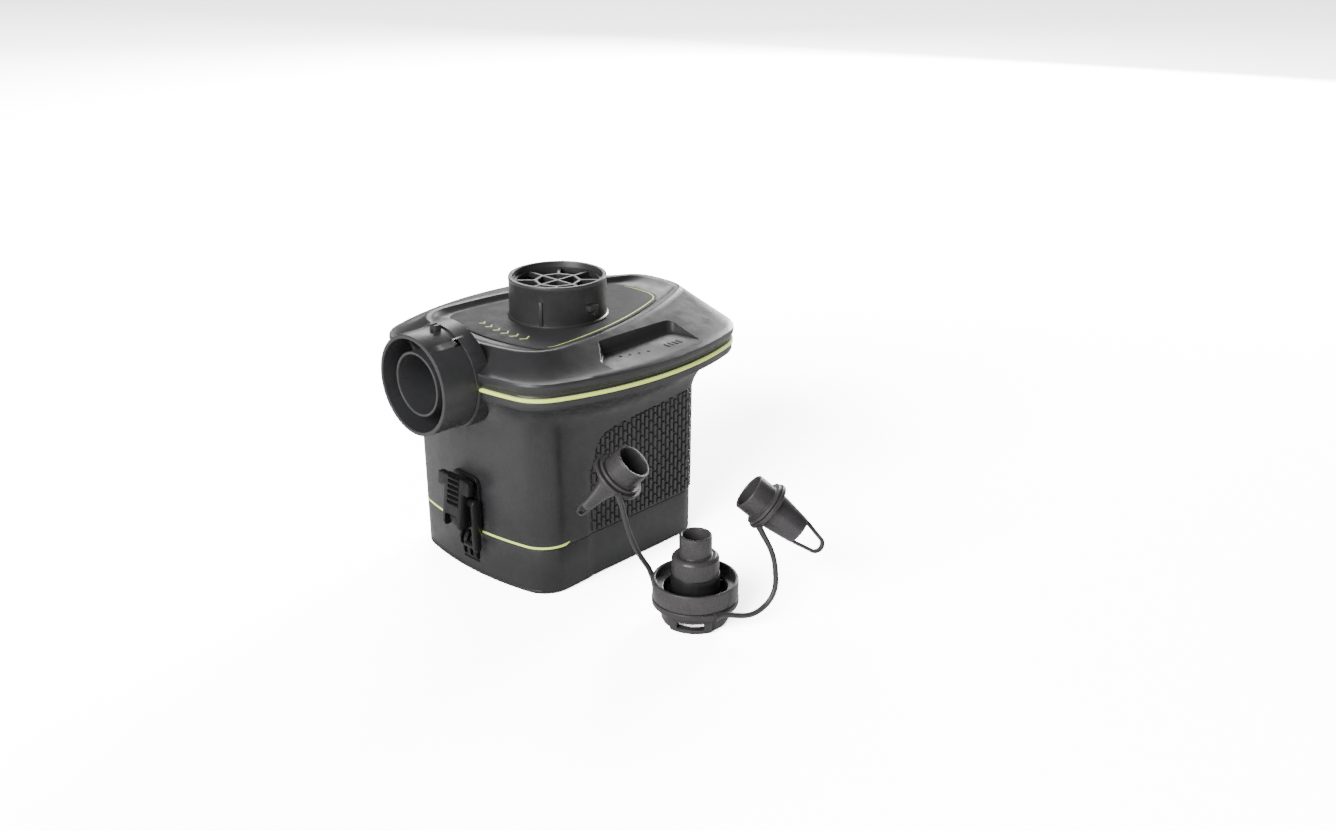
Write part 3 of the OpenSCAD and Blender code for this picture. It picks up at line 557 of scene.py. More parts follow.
def stud(width, length, height):
    """One grip brick, standing on z = 0: a long lozenge with a rounded back."""
    vertices = []
    r = 0.45
    outline = []
    for sx, sy, middle in ((-1, -1, -135), (1, -1, -45), (1, 1, 45), (-1, 1, 135)):
        centre = (sx * (width / 2 - r), sy * (length / 2 - r))
        outline += [spot(centre, r, middle + k) for k in (-30, 0, 30)]
    n = len(outline)
    for scale_x, scale_y, z in ((1.0, 1.0, 0.0), (0.94, 0.98, height * 0.55), (0.62, 0.9, height)):
        vertices += [(x * scale_x, y * scale_y, z) for x, y in outline]
    faces = [
        (j * n + i, j * n + (i + 1) % n, (j + 1) * n + (i + 1) % n, (j + 1) * n + i)
        for j in range(2)
        for i in range(n)
    ]
    faces.append(tuple(range(2 * n, 3 * n)))
    faces.append(tuple(range(n - 1, -1, -1)))
    return vertices, faces


def grip_bricks():
    """Staggered upright bricks over the grip panel, on both sides."""
    pitch, length = 2.6, 5.5
    outline = plan(BODY, 0, PANEL_STEPS)
    half = len(outline) // 2
    runs = panel_runs(outline)
    path = [(runs[i], *outline[i]) for i in range(half + 1) if runs[i] is not None]
    vertices, faces = [], []
    shape, shape_faces = stud(1.95, 5.0, PANEL_DEPTH + 0.02)
    column = 0
    run = 1.7
    while run < path[-1][0] - 1.2:
        k = next(i for i in range(len(path) - 1) if path[i + 1][0] >= run)
        t = (run - path[k][0]) / (path[k + 1][0] - path[k][0])
        x = path[k][1] + (path[k + 1][1] - path[k][1]) * t
        y = path[k][2] + (path[k + 1][2] - path[k][2]) * t
        along = Vector((path[k + 1][1] - path[k][1], path[k + 1][2] - path[k][2], 0)).normalized()
        out = Vector((along.y, -along.x, 0))
        ceiling = panel_top(run) - 0.5
        z = COVER_TOP + 0.8 - (length / 2 if column % 2 else 0)
        while z < ceiling:
            low, high = max(z, COVER_TOP + 0.7), min(z + length - 0.55, ceiling)
            if high - low > 1.1:
                middle = (low + high) / 2
                sunk = draft(middle) + PANEL_DEPTH
                for side in (1, -1):
                    start = len(vertices)
                    for vx, vy, vz in shape:
                        fit = (high - low) / 5.0
                        p = Vector((x, y, middle)) + along * vx + out * (vz - sunk) + Vector((0, 0, vy * fit))
                        vertices.append((p.x * side, p.y, p.z))
                    for face in shape_faces:
                        ids = [start + i for i in face]
                        faces.append(tuple(ids if side > 0 else reversed(ids)))
            z += length
        run += pitch
        column += 1
    return mesh_from("grip_bricks", vertices, faces)


housing = add_object("housing_shell", housing_shell(), "housing_plastic", "housing")
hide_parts("main_housing")
add_object("grip_bricks", tidy(grip_bricks(), 0.0000005), "housing_plastic", "housing")

# ---- Battery cover ----


def cover_shell():
    outline = plan(BODY, 0, PANEL_STEPS)
    runs = panel_runs(outline)
    cache = {}

    def ring(z, inset):
        points = []
        for i, r in enumerate(runs):
            sunk = PANEL_DEPTH - 0.1 if r is not None else 0
            if z > PLATE_FROM and outline[i][1] < PLATE_EDGE_Y:
                sunk = PLATE_DEPTH
            deep = round(inset + draft(z, outline[i][1]) + sunk, 2)
            if deep not in cache:
                cache[deep] = plan(BODY, deep, PANEL_STEPS)
            points.append((*cache[deep][i], z))
        return points

    outside = [(0, 6), (0, 1.1), (0.12, 0.62), (0.45, 0.22), (1.0, 0.0), (PLATE_FROM, 0)]
    outside += [(PLATE_FROM + 0.2, 0), (10, 0), (20.2, 0), (20.55, 0.12), (COVER_TOP, 0.4)]
    rings = [ring(z, inset) for z, inset in outside]
    inner = plan(BODY, WALL + 0.9, PANEL_STEPS)
    rings += [at(inner, COVER_TOP), at(inner, 4), at(plan(BODY, WALL + 2, PANEL_STEPS), 3)]
    shell = loft("cover_shell", rings)
    pocket = brick((-5.2, -60, 5.6), (5.2, -51.4, 19.6))
    shell = combine(shell, pocket, "DIFFERENCE")
    parts = [shell]
    for x in (-COVER_KNUCKLE_X, COVER_KNUCKLE_X):
        parts.append(brick((x - 3.25, 48, 14.5), (x + 3.25, HINGE_Y, HINGE_Z), 0.5))
        knuckle = turned([(1.25, -3.25), (2.6, -3.25), (2.6, 3.25), (1.25, 3.25)], 48)
        parts.append(moved(knuckle, place(x, HINGE_Y, HINGE_Z) @ turn(90, "Y")))
    return joined("cover_shell", parts)


cover = add_object("cover_shell", cover_shell(), "housing_plastic", "cover")
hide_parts("battery_cover")

# ---- Top cover ----


def hollow(y):
    """Power of the top's slope from flange to crest: straight at the rear and hollow towards the front."""
    return 1.35 - 0.35 * min(1, max(0, y) / 30)


def top_shell():
    flange = plan(FLANGE)
    crest = plan(CREST, 0.3)
    rings = [at(plan(DECK, 1.2), DECK_Z), at(plan(DECK, 0.2), DECK_Z + 0.12)]
    deck, rim = plan(DECK, -0.4), plan(RIM, 0.2)
    for t in (0.15, 0.4, 0.65, 0.85, 1.0):
        rings.append(at(blend(deck, rim, t), DECK_Z + 0.3 + 2.0 * t ** 1.25))
    rings.append(at(plan(RIM, -0.7), 105.85))
    rings += [at(plan(CREST, 1.7), CREST_Z), at(plan(CREST, 0.9), CREST_Z - 0.12)]
    for k in range(12, -1, -1):
        t = k / 12
        slope = blend(flange, crest, 0.03 + 0.97 * t)
        rings.append([(x, y, 98.1 + 7.4 * t ** hollow(y)) for x, y in slope])
    edge = [(0.12, 97.6), (0.02, 97), (0, 96), (0.1, 95.3), (0.35, 94.7), (0.95, 94.1), (1.25, 93.5)]
    edge += [(1.2, 92.9), (0.9, 92.4), (1.1, LID_Z), (3, LID_Z), (3, 94), (9, 96.2)]
    rings += [at(plan(FLANGE, inset), z) for inset, z in edge]
    rings += [at(plan(CREST, 3), z) for z in (97.2, 101.3)]
    shell = loft("top_shell", rings)
    hood = along_outlet(55.5, 62.2, HOOD_R, HOOD_R - 0.7)
    hood = combine(hood, along_outlet(47.5, 55.51, 12, HOOD_R), "UNION")
    hood = combine(hood, brick((-30, -70, LID_Z), (30, -40, 120)), "INTERSECT")
    shell = combine(shell, hood, "UNION")
    shell = combine(shell, along_outlet(54.5, 70, PORT_R + 0.1, PORT_R + 0.1), "DIFFERENCE")
    throat = turned([(0, 98), (19.2, 98), (19.2, 110), (0, 110)], 96, False)
    shell = combine(shell, moved(throat, place(0, PORT_Y, 0)), "DIFFERENCE")
    return combine(shell, thumb_cutter(), "DIFFERENCE")


def around(spots, r, steps=6):
    """The outline of a band of radius r pulled round anticlockwise spots."""
    out = []
    for i, p in enumerate(spots):
        a, b = spots[i - 1], spots[(i + 1) % len(spots)]
        first = math.atan2(p[1] - a[1], p[0] - a[0]) - math.pi / 2
        sweep = (math.atan2(b[1] - p[1], b[0] - p[0]) - math.pi / 2 - first) % (2 * math.pi)
        for s in range(steps + 1):
            angle = first + sweep * s / steps
            out.append((p[0] + r * math.cos(angle), p[1] + r * math.sin(angle)))
    return out


def thumb_cutter():
    """The recess's hollow: a flat floor, a sloping front wall, and open on its outer side."""
    low = [(43.5, -10.6), (50.5, -18.6), (80, -20), (80, 27), (43.8, 24.8)]
    high = [(43.2, -13.8), (54, -22.6), (80, -24), (80, 29), (40, 28.4)]
    rings = [at(around(low, r), z) for z, r in ((98.6, 2.0), (98.7, 2.35), (99.0, 2.7))]
    for t in (0.0, 0.2, 0.4, 0.6, 0.8, 1.0, 1.4):
        rings.append(at(blend(around(low, 2.8), around(high, 2.8), t), 99.1 + 7.5 * t))
    return loft("thumb_cutter", rings)


lid = add_object("top_shell", top_shell(), "housing_plastic", "housing", 34)
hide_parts("top_cover")

# ---- Shapes drawn from outlines ----


def rounded(points, reach=0.3, steps=3):
    """A closed outline with its corners rounded. reach is how far each rounding runs from its corner."""
    out = []
    for i, p in enumerate(points):
        r = reach[i] if isinstance(reach, (list, tuple)) else reach
        ends = []
        for q in (points[i - 1], points[(i + 1) % len(points)]):
            d = math.dist(p, q)
            t = min(r, 0.45 * d) / d
            ends.append((p[0] + (q[0] - p[0]) * t, p[1] + (q[1] - p[1]) * t))
        if not r:
            out.append(p)
            continue
        for s in range(steps + 1):
            t = s / steps
            k = ((1 - t) ** 2, 2 * t * (1 - t), t * t)
            out.append(tuple(k[0] * ends[0][c] + k[1] * p[c] + k[2] * ends[1][c] for c in (0, 1)))
    return out


def shrink(outline, by):
    """A closed outline moved inwards."""
    n = len(outline)
    area = sum(a[0] * b[1] - b[0] * a[1] for a, b in zip(outline, outline[1:] + outline[:1]))
    side = by if area > 0 else -by
    out = []
    for i, (x, y) in enumerate(outline):
        (x0, y0), (x1, y1) = outline[i - 1], outline[(i + 1) % n]
        u = Vector((x - x0, y - y0)).normalized()
        v = Vector((x1 - x, y1 - y)).normalized()
        reach = side / (1 + u.dot(v))
        out.append((x - (u.y + v.y) * reach, y + (u.x + v.x) * reach))
    return out


def prism(outline, lo, hi, axis="Z", bevel=0.3):
    """An outline drawn along an axis, with its end edges rounded.

    The outline's points are (y, z) along X, (x, z) along Y and (x, y) along Z.
    """
    order = {"X": (2, 0, 1), "Y": (0, 2, 1), "Z": (0, 1, 2)}[axis]
    if bevel:
        soft = shrink(outline, 0.3 * bevel)
        small = shrink(outline, bevel)
        levels = [(lo, small), (lo + 0.3 * bevel, soft), (lo + bevel, outline)]
        levels += [(hi - bevel, outline), (hi - 0.3 * bevel, soft), (hi, small)]
    else:
        levels = [(lo, outline), (hi, outline)]
    return loft("prism", [[tuple((a, b, h)[k] for k in order) for a, b in ring] for h, ring in levels])


def box_outline(x0, x1, y0, y1, reach):
    return rounded([(x0, y0), (x1, y0), (x1, y1), (x0, y1)], reach, 4)


def circle(cx, cy, r, a0=0, a1=360, steps=32):
    count = steps if a1 - a0 == 360 else steps + 1
    return [spot((cx, cy), r, a0 + (a1 - a0) * k / steps) for k in range(count)]


def union(meshes):
    result = meshes[0]
    for mesh in meshes[1:]:
        result = combine(result, mesh, "UNION")
    return result


def smooth_path(points, between=5):
    """Points on a smooth curve through the given ones."""
    v = [Vector(p) for p in points]
    v = [2 * v[0] - v[1], *v, 2 * v[-1] - v[-2]]
    out = []
    for a, b, c, d in zip(v, v[1:], v[2:], v[3:]):
        for k in range(between):
            t = k / between
            bend = 2 * a - 5 * b + 4 * c - d
            twist = 3 * b - a - 3 * c + d
            out.append(0.5 * (2 * b + (c - a) * t + bend * t * t + twist * t**3))
    return [tuple(p) for p in [*out, v[-2]]]


def tube(points, radii, sides=20):
    """A round bar through points, with a radius for each."""
    path = [Vector(p) for p in points]
    side = Vector((0.3, 0.2, 1))
    rings = []
    for i, p in enumerate(path):
        ahead = (path[min(i + 1, len(path) - 1)] - path[max(i - 1, 0)]).normalized()
        side = (side - side.dot(ahead) * ahead).normalized()
        other = ahead.cross(side)
        angles = [2 * math.pi * k / sides for k in range(sides)]
        rings.append([tuple(p + radii[i] * (math.cos(a) * side + math.sin(a) * other)) for a in angles])
    return loft("tube", rings)


def ribbon(path, thickness, width):
    """A flat strap along a (y, z) path, as wide along X as width, with rounded edges."""
    w, h = width / 2, thickness / 2
    section = rounded([(-w, -h), (w, -h), (w, h), (-w, h)], thickness * 0.4)
    rings = []
    for i, (y, z) in enumerate(path):
        (y0, z0), (y1, z1) = path[max(i - 1, 0)], path[min(i + 1, len(path) - 1)]
        d = math.dist((y0, z0), (y1, z1))
        normal = (-(z1 - z0) / d, (y1 - y0) / d)
        rings.append([(x, y + normal[0] * n, z + normal[1] * n) for x, n in section])
    return loft("ribbon", rings)


def softened(node, slot, body, width=0.3):
    """A copy of a CAD node with its sharp edges rounded, shown in its place."""
    mesh = NODES[node].data.copy()
    work = bmesh.new()
    work.from_mesh(mesh)
    bmesh.ops.remove_doubles(work, verts=work.verts, dist=0.000002)
    flat = math.radians(0.5)
    bmesh.ops.dissolve_limit(work, angle_limit=flat, verts=work.verts, edges=work.edges)
    work.to_mesh(mesh)
    work.free()
    piece = add_object(node + "_soft", mesh, slot, body)
    bevel = piece.modifiers.new("edges", "BEVEL")
    bevel.width = width * MM
    bevel.segments = 2
    bevel.limit_method = "ANGLE"
    bevel.angle_limit = math.radians(35)
    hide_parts(node)
    return piece


def shown_for(nodes, name, mesh, slot, body, smooth=30):
    """A finished piece that stands for the CAD nodes named."""
    piece = add_object(name, mesh, slot, body, smooth)
    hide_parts(*nodes)
    return piece


# ---- Trims and label ----


def upper_trim_shape():
    section = ((0.45, 90.55), (0.2, 90.8), (0.2, 91.8), (0.45, 92.05), (3, 92.05), (3, 90.55))
    band = loft("upper_trim_band", [at(plan(FLANGE, inset), z) for inset, z in section], True)
    return combine(band, along_outlet(40, 70, PORT_R + 0.1, PORT_R + 0.1), "DIFFERENCE")


def lower_trim_shape():
    """The front band, whose ends are cut slantwise."""
    section = ((0.35, 20.95), (0.1, 21.15), (0.1, 22.15), (0.35, 22.4), (1.6, 22.4), (1.6, 20.95))
    band = loft("lower_trim_band", [at(plan(BODY, inset), z) for inset, z in section], True)
    keep = prism([(-80, 20), (-37, 20), (-37, 20.9), (-33.6, 22.5), (-33.6, 24), (-80, 24)], -60, 60, "X", 0)
    return combine(band, keep, "INTERSECT")


def label_shape():
    rings = [at(plan(LABEL, i), z) for i, z in ((0, DECK_Z + 0.02), (0, DECK_Z + 0.38), (0.2, DECK_Z + 0.48))]
    hole = moved(turned([(0, 103), (21.75, 103), (21.75, 105), (0, 105)], 96, False), place(0, PORT_Y, 0))
    return combine(loft("label_film", rings), hole, "DIFFERENCE")


def label_border():
    """A thin line just inside the label's edge, tapering out at both ends."""
    outline = plan(LABEL, 1.6)
    half = len(outline) // 2
    path = outline[16 : half + 12]
    rings = []
    for i, (x, y) in enumerate(path):
        (x0, y0), (x1, y1) = path[max(i - 1, 0)], path[min(i + 1, len(path) - 1)]
        d = math.dist((x0, y0), (x1, y1))
        n = ((y1 - y0) / d, -(x1 - x0) / d)
        w = 0.32 * math.sin(math.pi * (i + 0.4) / (len(path) - 0.2)) ** 0.5
        section = ((-w, 0.46), (w, 0.46), (w, 0.5), (-w, 0.5))
        rings.append([(x + n[0] * a, y + n[1] * a, DECK_Z + b) for a, b in section])
    return loft("label_border", rings)


def label_marks():
    """A row of slanting strokes that grow towards the outlet, as a sign for moving air."""
    strokes = []
    for k in range(6):
        x, half = -14 + 5.6 * k, 1.5 + 0.22 * k
        y = -31.6 + 0.007 * (x - 2) ** 2
        outline = [(x - 0.4, y - half), (x + 0.4, y - half), (x + 2.1, y)]
        outline += [(x + 0.4, y + half), (x - 0.4, y + half), (x + 1.3, y)]
        strokes.append(prism(outline, DECK_Z + 0.44, DECK_Z + 0.5, "Z", 0))
    return joined("label_marks", strokes)


shown_for(["upper_trim"], "upper_trim_band", upper_trim_shape(), "lime_trim", "housing")
shown_for(["lower_trim"], "lower_trim_band", lower_trim_shape(), "lime_trim", "housing")
shown_for(["deck_label"], "label_film", label_shape(), "label", "housing")
add_object("label_border", label_border(), "lime_trim", "housing", 0)
add_object("label_marks", label_marks(), "lime_trim", "housing", 0)

# ---- Inlet port ----


def inlet_shape():
    z, top = DECK_Z + 0.01, DECK_Z + 18
    profile = [(19.2, z), (21.6, z), (21.6, z + 1.0), (21.35, z + 1.35), (21.0, z + 1.6)]
    profile += [(20.9, top - 1.9), (21.0, top - 1.6), (21.0, top - 0.4), (20.85, top - 0.1), (20.6, top)]
    profile += [(19.6, top), (19.35, top - 0.1), (19.2, top - 0.4)]
    wall = turned(profile, 128)
    rib = prism(box_outline(20, 21.65, -0.8, 0.8, 0.4), z + 1, z + 11.6, "Z", 0.3)
    parts = [wall, moved(rib, turn(-62, "Z"))]
    hook = [(-2.4, z + 6.6), (0.4, z + 6.6), (0.4, z + 4.4), (2.4, z + 4.4), (2.4, z + 9), (-2.4, z + 9)]
    for a in (-2, 178):
        parts.append(moved(prism(rounded(hook, 0.5), 20, 23.3, "X", 0.35), turn(a, "Z")))
    throat = turned([(17.8, 96.9), (19.05, 96.9), (19.05, 105.4), (18.8, 105.6), (17.8, 105.6)], 96)
    return moved(joined("inlet_tube", [union(parts), throat]), place(0, PORT_Y, 0))


shown_for(["inlet_port"], "inlet_tube", inlet_shape(), "housing_plastic", "housing")
softened("inlet_grille", "housing_plastic", "housing", 0.25)

# ---- Outlet port ----

TO_OUTLET = place(0, 0, OUTLET_Z) @ turn(90, "X")
LUG_ANGLE = 5
STOP_ANGLE = 30


def outlet_shape():
    profile = [(19.2, 55.6), (21, 55.6), (21, 77.2), (20.88, 77.5), (20.65, 77.6)]
    profile += [(19.55, 77.6), (19.32, 77.5), (19.2, 77.2)]
    parts = [moved(turned(profile, 144), TO_OUTLET)]
    lug = [((-1.8, -67.4, 20.5), (1.8, -64.2, 23.1), 0.35)]
    lug += [((-1.8, -67.4, 22.6), (-0.5, -64.2, 23.55), 0.3), ((0.5, -67.4, 22.6), (1.8, -64.2, 23.55), 0.3)]
    stop = [((-0.5, -65.6, 20.3), (0.5, -58.8, 22), 0.25), ((-0.5, -65.6, 20.3), (3.1, -64.6, 22), 0.25)]
    for blocks, first in ((lug, LUG_ANGLE), (stop, STOP_ANGLE)):
        for angle in (first, first + 180):
            parts += [moved(brick(*block), place(0, 0, OUTLET_Z) @ turn(angle, "Y")) for block in blocks]
    return union(parts)


def core_shape():
    profile = [(12.2, 55.6), (13.5, 55.6), (13.5, 74.9), (13.3, 75.25), (12.4, 75.25), (12.2, 74.9)]
    parts = [moved(turned(profile, 112), TO_OUTLET)]
    for a in range(45, 360, 90):
        web = brick((-0.9, -68, 13), (0.9, -55.8, 19.15), 0.25)
        parts.append(moved(web, place(0, 0, OUTLET_Z) @ turn(a, "Y")))
    return union(parts)


shown_for(["outlet_port"], "outlet_tube", outlet_shape(), "housing_plastic", "housing")
shown_for(["outlet_core"], "outlet_core_tube", core_shape(), "housing_plastic", "housing")

# ---- Thumb recess marks ----

MARK_FROM = 98.5
MARK_TO = 98.95


def thumb_marks():
    """Four dots and four short bars along the recess's floor."""
    dots = [circle(48 + 1.2 * k, -9 + 4.2 * k, 0.6, 0, 360, 20) for k in range(4)]
    bars = [box_outline(50.4, 54.2, 13.5 + 2.4 * k, 14.1 + 2.4 * k, 0.2) for k in range(4)]
    return joined("thumb_marks", [prism(mark, MARK_FROM, MARK_TO, "Z", 0.12) for mark in dots + bars])


add_object("thumb_marks", thumb_marks(), "housing_plastic", "housing")

# ---- Latch ----

PIVOT = (-58, 27)
BAIL_AXIS = (-57.3, 36.1)
BAR_AXIS = (-57.3, 15.9)
LEVER_LEAN = 0.126
RIB_COUNT = 6
RIB_FROM = 34.6
RIB_PITCH = 2.3
RIB_ENDS = (-3.1, 4.4)


def pin_across(axis, x0, x1, r):
    return prism(circle(*axis, r), x0, x1, "X", 0.2)


def latch_base_shape():
    front = [(-8.6, 23.8), (8.6, 23.8), (8.6, 46.8), (-8.6, 46.8)]
    plate = prism(rounded(front, [0.8, 0.8, 4.2, 4.2], 6), -54.6, -52, "Y", 0.45)
    plate = combine(plate, brick((-4, -54.4, 20.95), (8.2, -52, 24.6), 0.3), "UNION")
    side = [(-61.2, 24.4), (-58, 23.8), (-53, 23.8), (-53, 30.2), (-60, 30.2), (-61.9, 28.8)]
    return combine(plate, prism(rounded(side, 0.9, 4), -2.2, 3.0, "X", 0.3), "UNION")


def lever_face(z):
    """Depth of the lever's leaning front at a height."""
    return -61 - LEVER_LEAN * (43.5 - z)


def lever_shape():
    """The lever: a leaning stem under a wider head, with grip ribs and a window low down."""
    side = [(-62.2, 24.2), (-63.3, 25.2), (-61, 43.5), (-60.3, 47.2), (-57.4, 47.2), (-56.8, 43)]
    side += [(-55.5, 39.2), (-55.5, 31), (-55.4, 27.6), (-57, 24.4)]
    stem = prism(rounded(side, [0.8, 0.8, 2.0, 0.8, 0.8, 1.5, 1.5, 1, 1, 0.8], 4), -6, 6.2, "X", 0.75)
    front = rounded([(-10, 41.2), (10.3, 40.6), (10.3, 47.1), (-10, 47.1)], [0.9, 0.9, 3.2, 0.9], 5)
    head = prism(front, -60.9, -57.8, "Y", 0.5)
    head = moved(head, place(0, -59.5, 44) @ turn(-7.2, "X") @ place(0, 59.5, -44))
    body = combine(stem, head, "UNION")
    body = combine(body, prism(box_outline(-3.9, 4.2, 20, 30.2, 0.8), -66, -57.2, "Y", 0), "DIFFERENCE")
    ribs = []
    for k in range(RIB_COUNT):
        rib_z = RIB_FROM + RIB_PITCH * k
        groove_z = rib_z + RIB_PITCH / 2
        y = lever_face(groove_z)
        opening = box_outline(*RIB_ENDS, groove_z - 0.55, groove_z + 0.55, 0.3)
        body = combine(body, prism(opening, y - 2, y + 0.9, "Y", 0), "DIFFERENCE")
        ribs.append(prism(circle(lever_face(rib_z), rib_z, 0.42, 0, 360, 16), *RIB_ENDS, "X", 0.2))
    dots = [prism(circle(-58, z, 0.4, 0, 360, 16), 5.8, 6.18, "X", 0.15) for z in (25.4, 30.9)]
    return joined("lever_shape", [body] + ribs + dots)


def bail_shape():
    """One arm beside the lever, with an eye at the top and a short round bar turned inwards at its foot."""
    outline = circle(*BAIL_AXIS, 2.1, 0, 180, 20) + circle(*BAR_AXIS, 1.8, 180, 360, 16)
    arm = prism(outline, 8.4, 10.7, "X", 0.7)
    arm = combine(arm, prism(circle(*BAIL_AXIS, 1.8, 0, 360, 24), 6.4, 9, "X", 0.3), "UNION")
    return combine(arm, prism(circle(*BAR_AXIS, 1.2, 0, 360, 24), 2.0, 9, "X", 0.3), "UNION")


def keeper_shape():
    outline = [(-51.3, 7.2), (-53.6, 7.2), (-54.2, 9), (-54.4, 12.4)]
    outline += [(-55.8, 13.6), (-55.8, 16.6), (-54.6, 19), (-51.3, 19)]
    hook = prism(rounded(outline, [0, 0.8, 0.8, 0.5, 0.6, 0.6, 0.9, 0], 4), -4.6, 4.6, "X", 0.4)
    for x in (-2.2, 1.8):
        hook = combine(hook, brick((x - 1.1, -60, 8.4), (x + 1.1, -52.6, 20)), "DIFFERENCE")
    return hook


shown_for(["latch_base"], "latch_base_plate", latch_base_shape(), "black_plastic", "housing")
shown_for(["latch_lever"], "latch_lever_plate", lever_shape(), "black_plastic", "lever")
shown_for(["latch_bail"], "latch_bail_frame", bail_shape(), "black_plastic", "bail")
shown_for(["latch_keeper"], "latch_keeper_hook", keeper_shape(), "black_plastic", "cover")
shown_for(["latch_pin"], "latch_pin_rod", pin_across(PIVOT, -5.6, 5.4, 1.1), "steel", "housing")
bail_rod = [pin_across(BAIL_AXIS, -7.3, 9.2, 1.1), pin_across(BAIL_AXIS, -7.3, -6.1, 1.9)]
shown_for(["bail_pin"], "bail_pin_rod", joined("bail_pin_rod", bail_rod), "steel", "lever")

# ---- Switch ----

softened("switch_frame", "black_plastic", "housing", 0.4)
softened("switch_rocker", "black_plastic", "rocker", 0.3)


def switch_marks():
    """A bar and a ring in raised print on the two faces of the rocker."""
    home = place(0, 46.4, 68.5) @ turn(8, "X")
    bar = prism(box_outline(-0.3, 0.3, -1.5, 1.5, 0.2), -0.04, 0.08, "Y", 0)
    bar = moved(bar, home @ place(0, 5.44, 3.4) @ turn(-8.75, "X"))
    ring = turned([(1.0, -0.04), (1.5, -0.04), (1.5, 0.08), (1.0, 0.08)], 32)
    ring = moved(ring, home @ place(0, 5.44, -3.4) @ turn(8.75, "X") @ turn(-90, "X"))
    return joined("switch_marks", [bar, ring])


add_object("switch_marks", switch_marks(), "nozzle_plastic", "rocker")

# ---- Nozzle set ----

ADAPTER = place(96, -15.5, 0)
LOOP_POSE = ((110.95, 10.7, 45.5), 40.5, 39.8, 68)
SLIM_POSE = ((67.2, -29.9, 58.4), -156.2, 48.3, 90)
RING_MIDDLE = 10.15


def pose_matrix(pose):
    middle, heading, pitch, roll = pose
    turned_to = turn(heading, "Z") @ turn(90 + pitch, "Y") @ turn(roll, "Z")
    return place(*middle) @ turned_to @ place(0, 0, -RING_MIDDLE)


def cup_shape():
    profile = [(11.8, 6), (11.8, 0.25), (12.05, 0), (13.0, 0), (13.35, 0.25), (13.8, 1.2), (13.8, 5.4)]
    profile += [(15.3, 7.2), (15.3, 10.4), (17.1, 10.4), (17.4, 10.7), (17.4, 17.9), (17.25, 18.2)]
    profile += [(17.0, 18.3), (16.45, 18.3), (16.2, 18.2), (16.1, 17.9), (16.1, 15.3), (15.85, 15.0)]
    profile += [(13.1, 14.45), (12.9, 14.25), (12.9, 6)]
    cup = turned(profile, 128)
    for a in (-55, 125):
        frame_plate = prism(box_outline(-9.3, 9.3, 0.3, 7.0, 1.3), 12.2, 15.6, "Z", 0)
        frame_plate = moved(frame_plate, turn(a, "Z") @ turn(90, "Y") @ turn(90, "Z"))
        outer = turned([(0, 0.3), (14.5, 0.3), (14.9, 0.9), (14.9, 6.2), (14.7, 7), (0, 7)], 96, False)
        cup = combine(cup, combine(frame_plate, outer, "INTERSECT"), "UNION")
        slot_cut = moved(brick((10, -5.5, 2.1), (18, 5.5, 4.9), 0.0), turn(a, "Z"))
        cup = combine(cup, slot_cut, "DIFFERENCE")
    return moved(cup, ADAPTER)


def spout_shape():
    profile = [(8.1, 6), (12.8, 6), (12.8, 7.6), (12.6, 7.8), (9.6, 7.8), (9.6, 27.3), (9.5, 27.6)]
    profile += [(8.6, 28.55), (8.3, 28.75), (6.75, 28.8), (6.6, 29.0), (6.6, 37.1), (6.5, 37.3)]
    profile += [(6.3, 37.4), (5.6, 37.4), (5.4, 37.3), (5.3, 37.1), (5.3, 28), (8.1, 26)]
    spout = turned(profile, 112)
    notch = prism([(-0.9, 38), (0.9, 38), (0.0, 36.7)], 4, 8, "X", 0)
    return moved(combine(spout, moved(notch, turn(-52, "Z")), "DIFFERENCE"), ADAPTER)


def insert_shape():
    """The dark sleeve low on the spout, with an eight-sided foot and three small studs."""
    sleeve = turned([(9.5, 7.6), (9.95, 7.6), (9.95, 20.4), (9.75, 20.8), (9.5, 20.8)], 96)
    foot = prism([spot((0, 0), 12.5, 22.5 + 45 * k) for k in range(8)], 7.7, 12.2, "Z", 0.4)
    bore = turned([(0, 7), (9.7, 7), (9.7, 14), (0, 14)], 64, False)
    parts = [combine(foot, bore, "DIFFERENCE"), sleeve]
    for a in (-175, 62, -78):
        parts.append(moved(prism(circle(11.3, 0, 0.75, 0, 360, 20), 11.8, 14.9, "Z", 0.25), turn(a, "Z")))
    return moved(joined("insert", parts), ADAPTER)


def strap_shape():
    ring = turned([(15.45, 7.6), (17.3, 7.6), (17.6, 7.9), (17.6, 9.9), (17.3, 10.2), (15.45, 10.2)], 128)
    fin = rounded([(15.6, -5.2), (17.2, -5.2), (18.2, -2.2), (18.3, 0.6), (17.4, 5.0), (15.6, 5.0)], 0.8, 4)
    ring = combine(ring, moved(prism(fin, 7.65, 10.15, "Z", 0.4), turn(-22.4, "Z")), "UNION")
    lug = moved(prism(box_outline(15.6, 18.3, -1.9, 1.9, 0.8), 7.65, 10.15, "Z", 0.4), turn(196, "Z"))
    return moved(combine(ring, lug, "UNION"), ADAPTER)


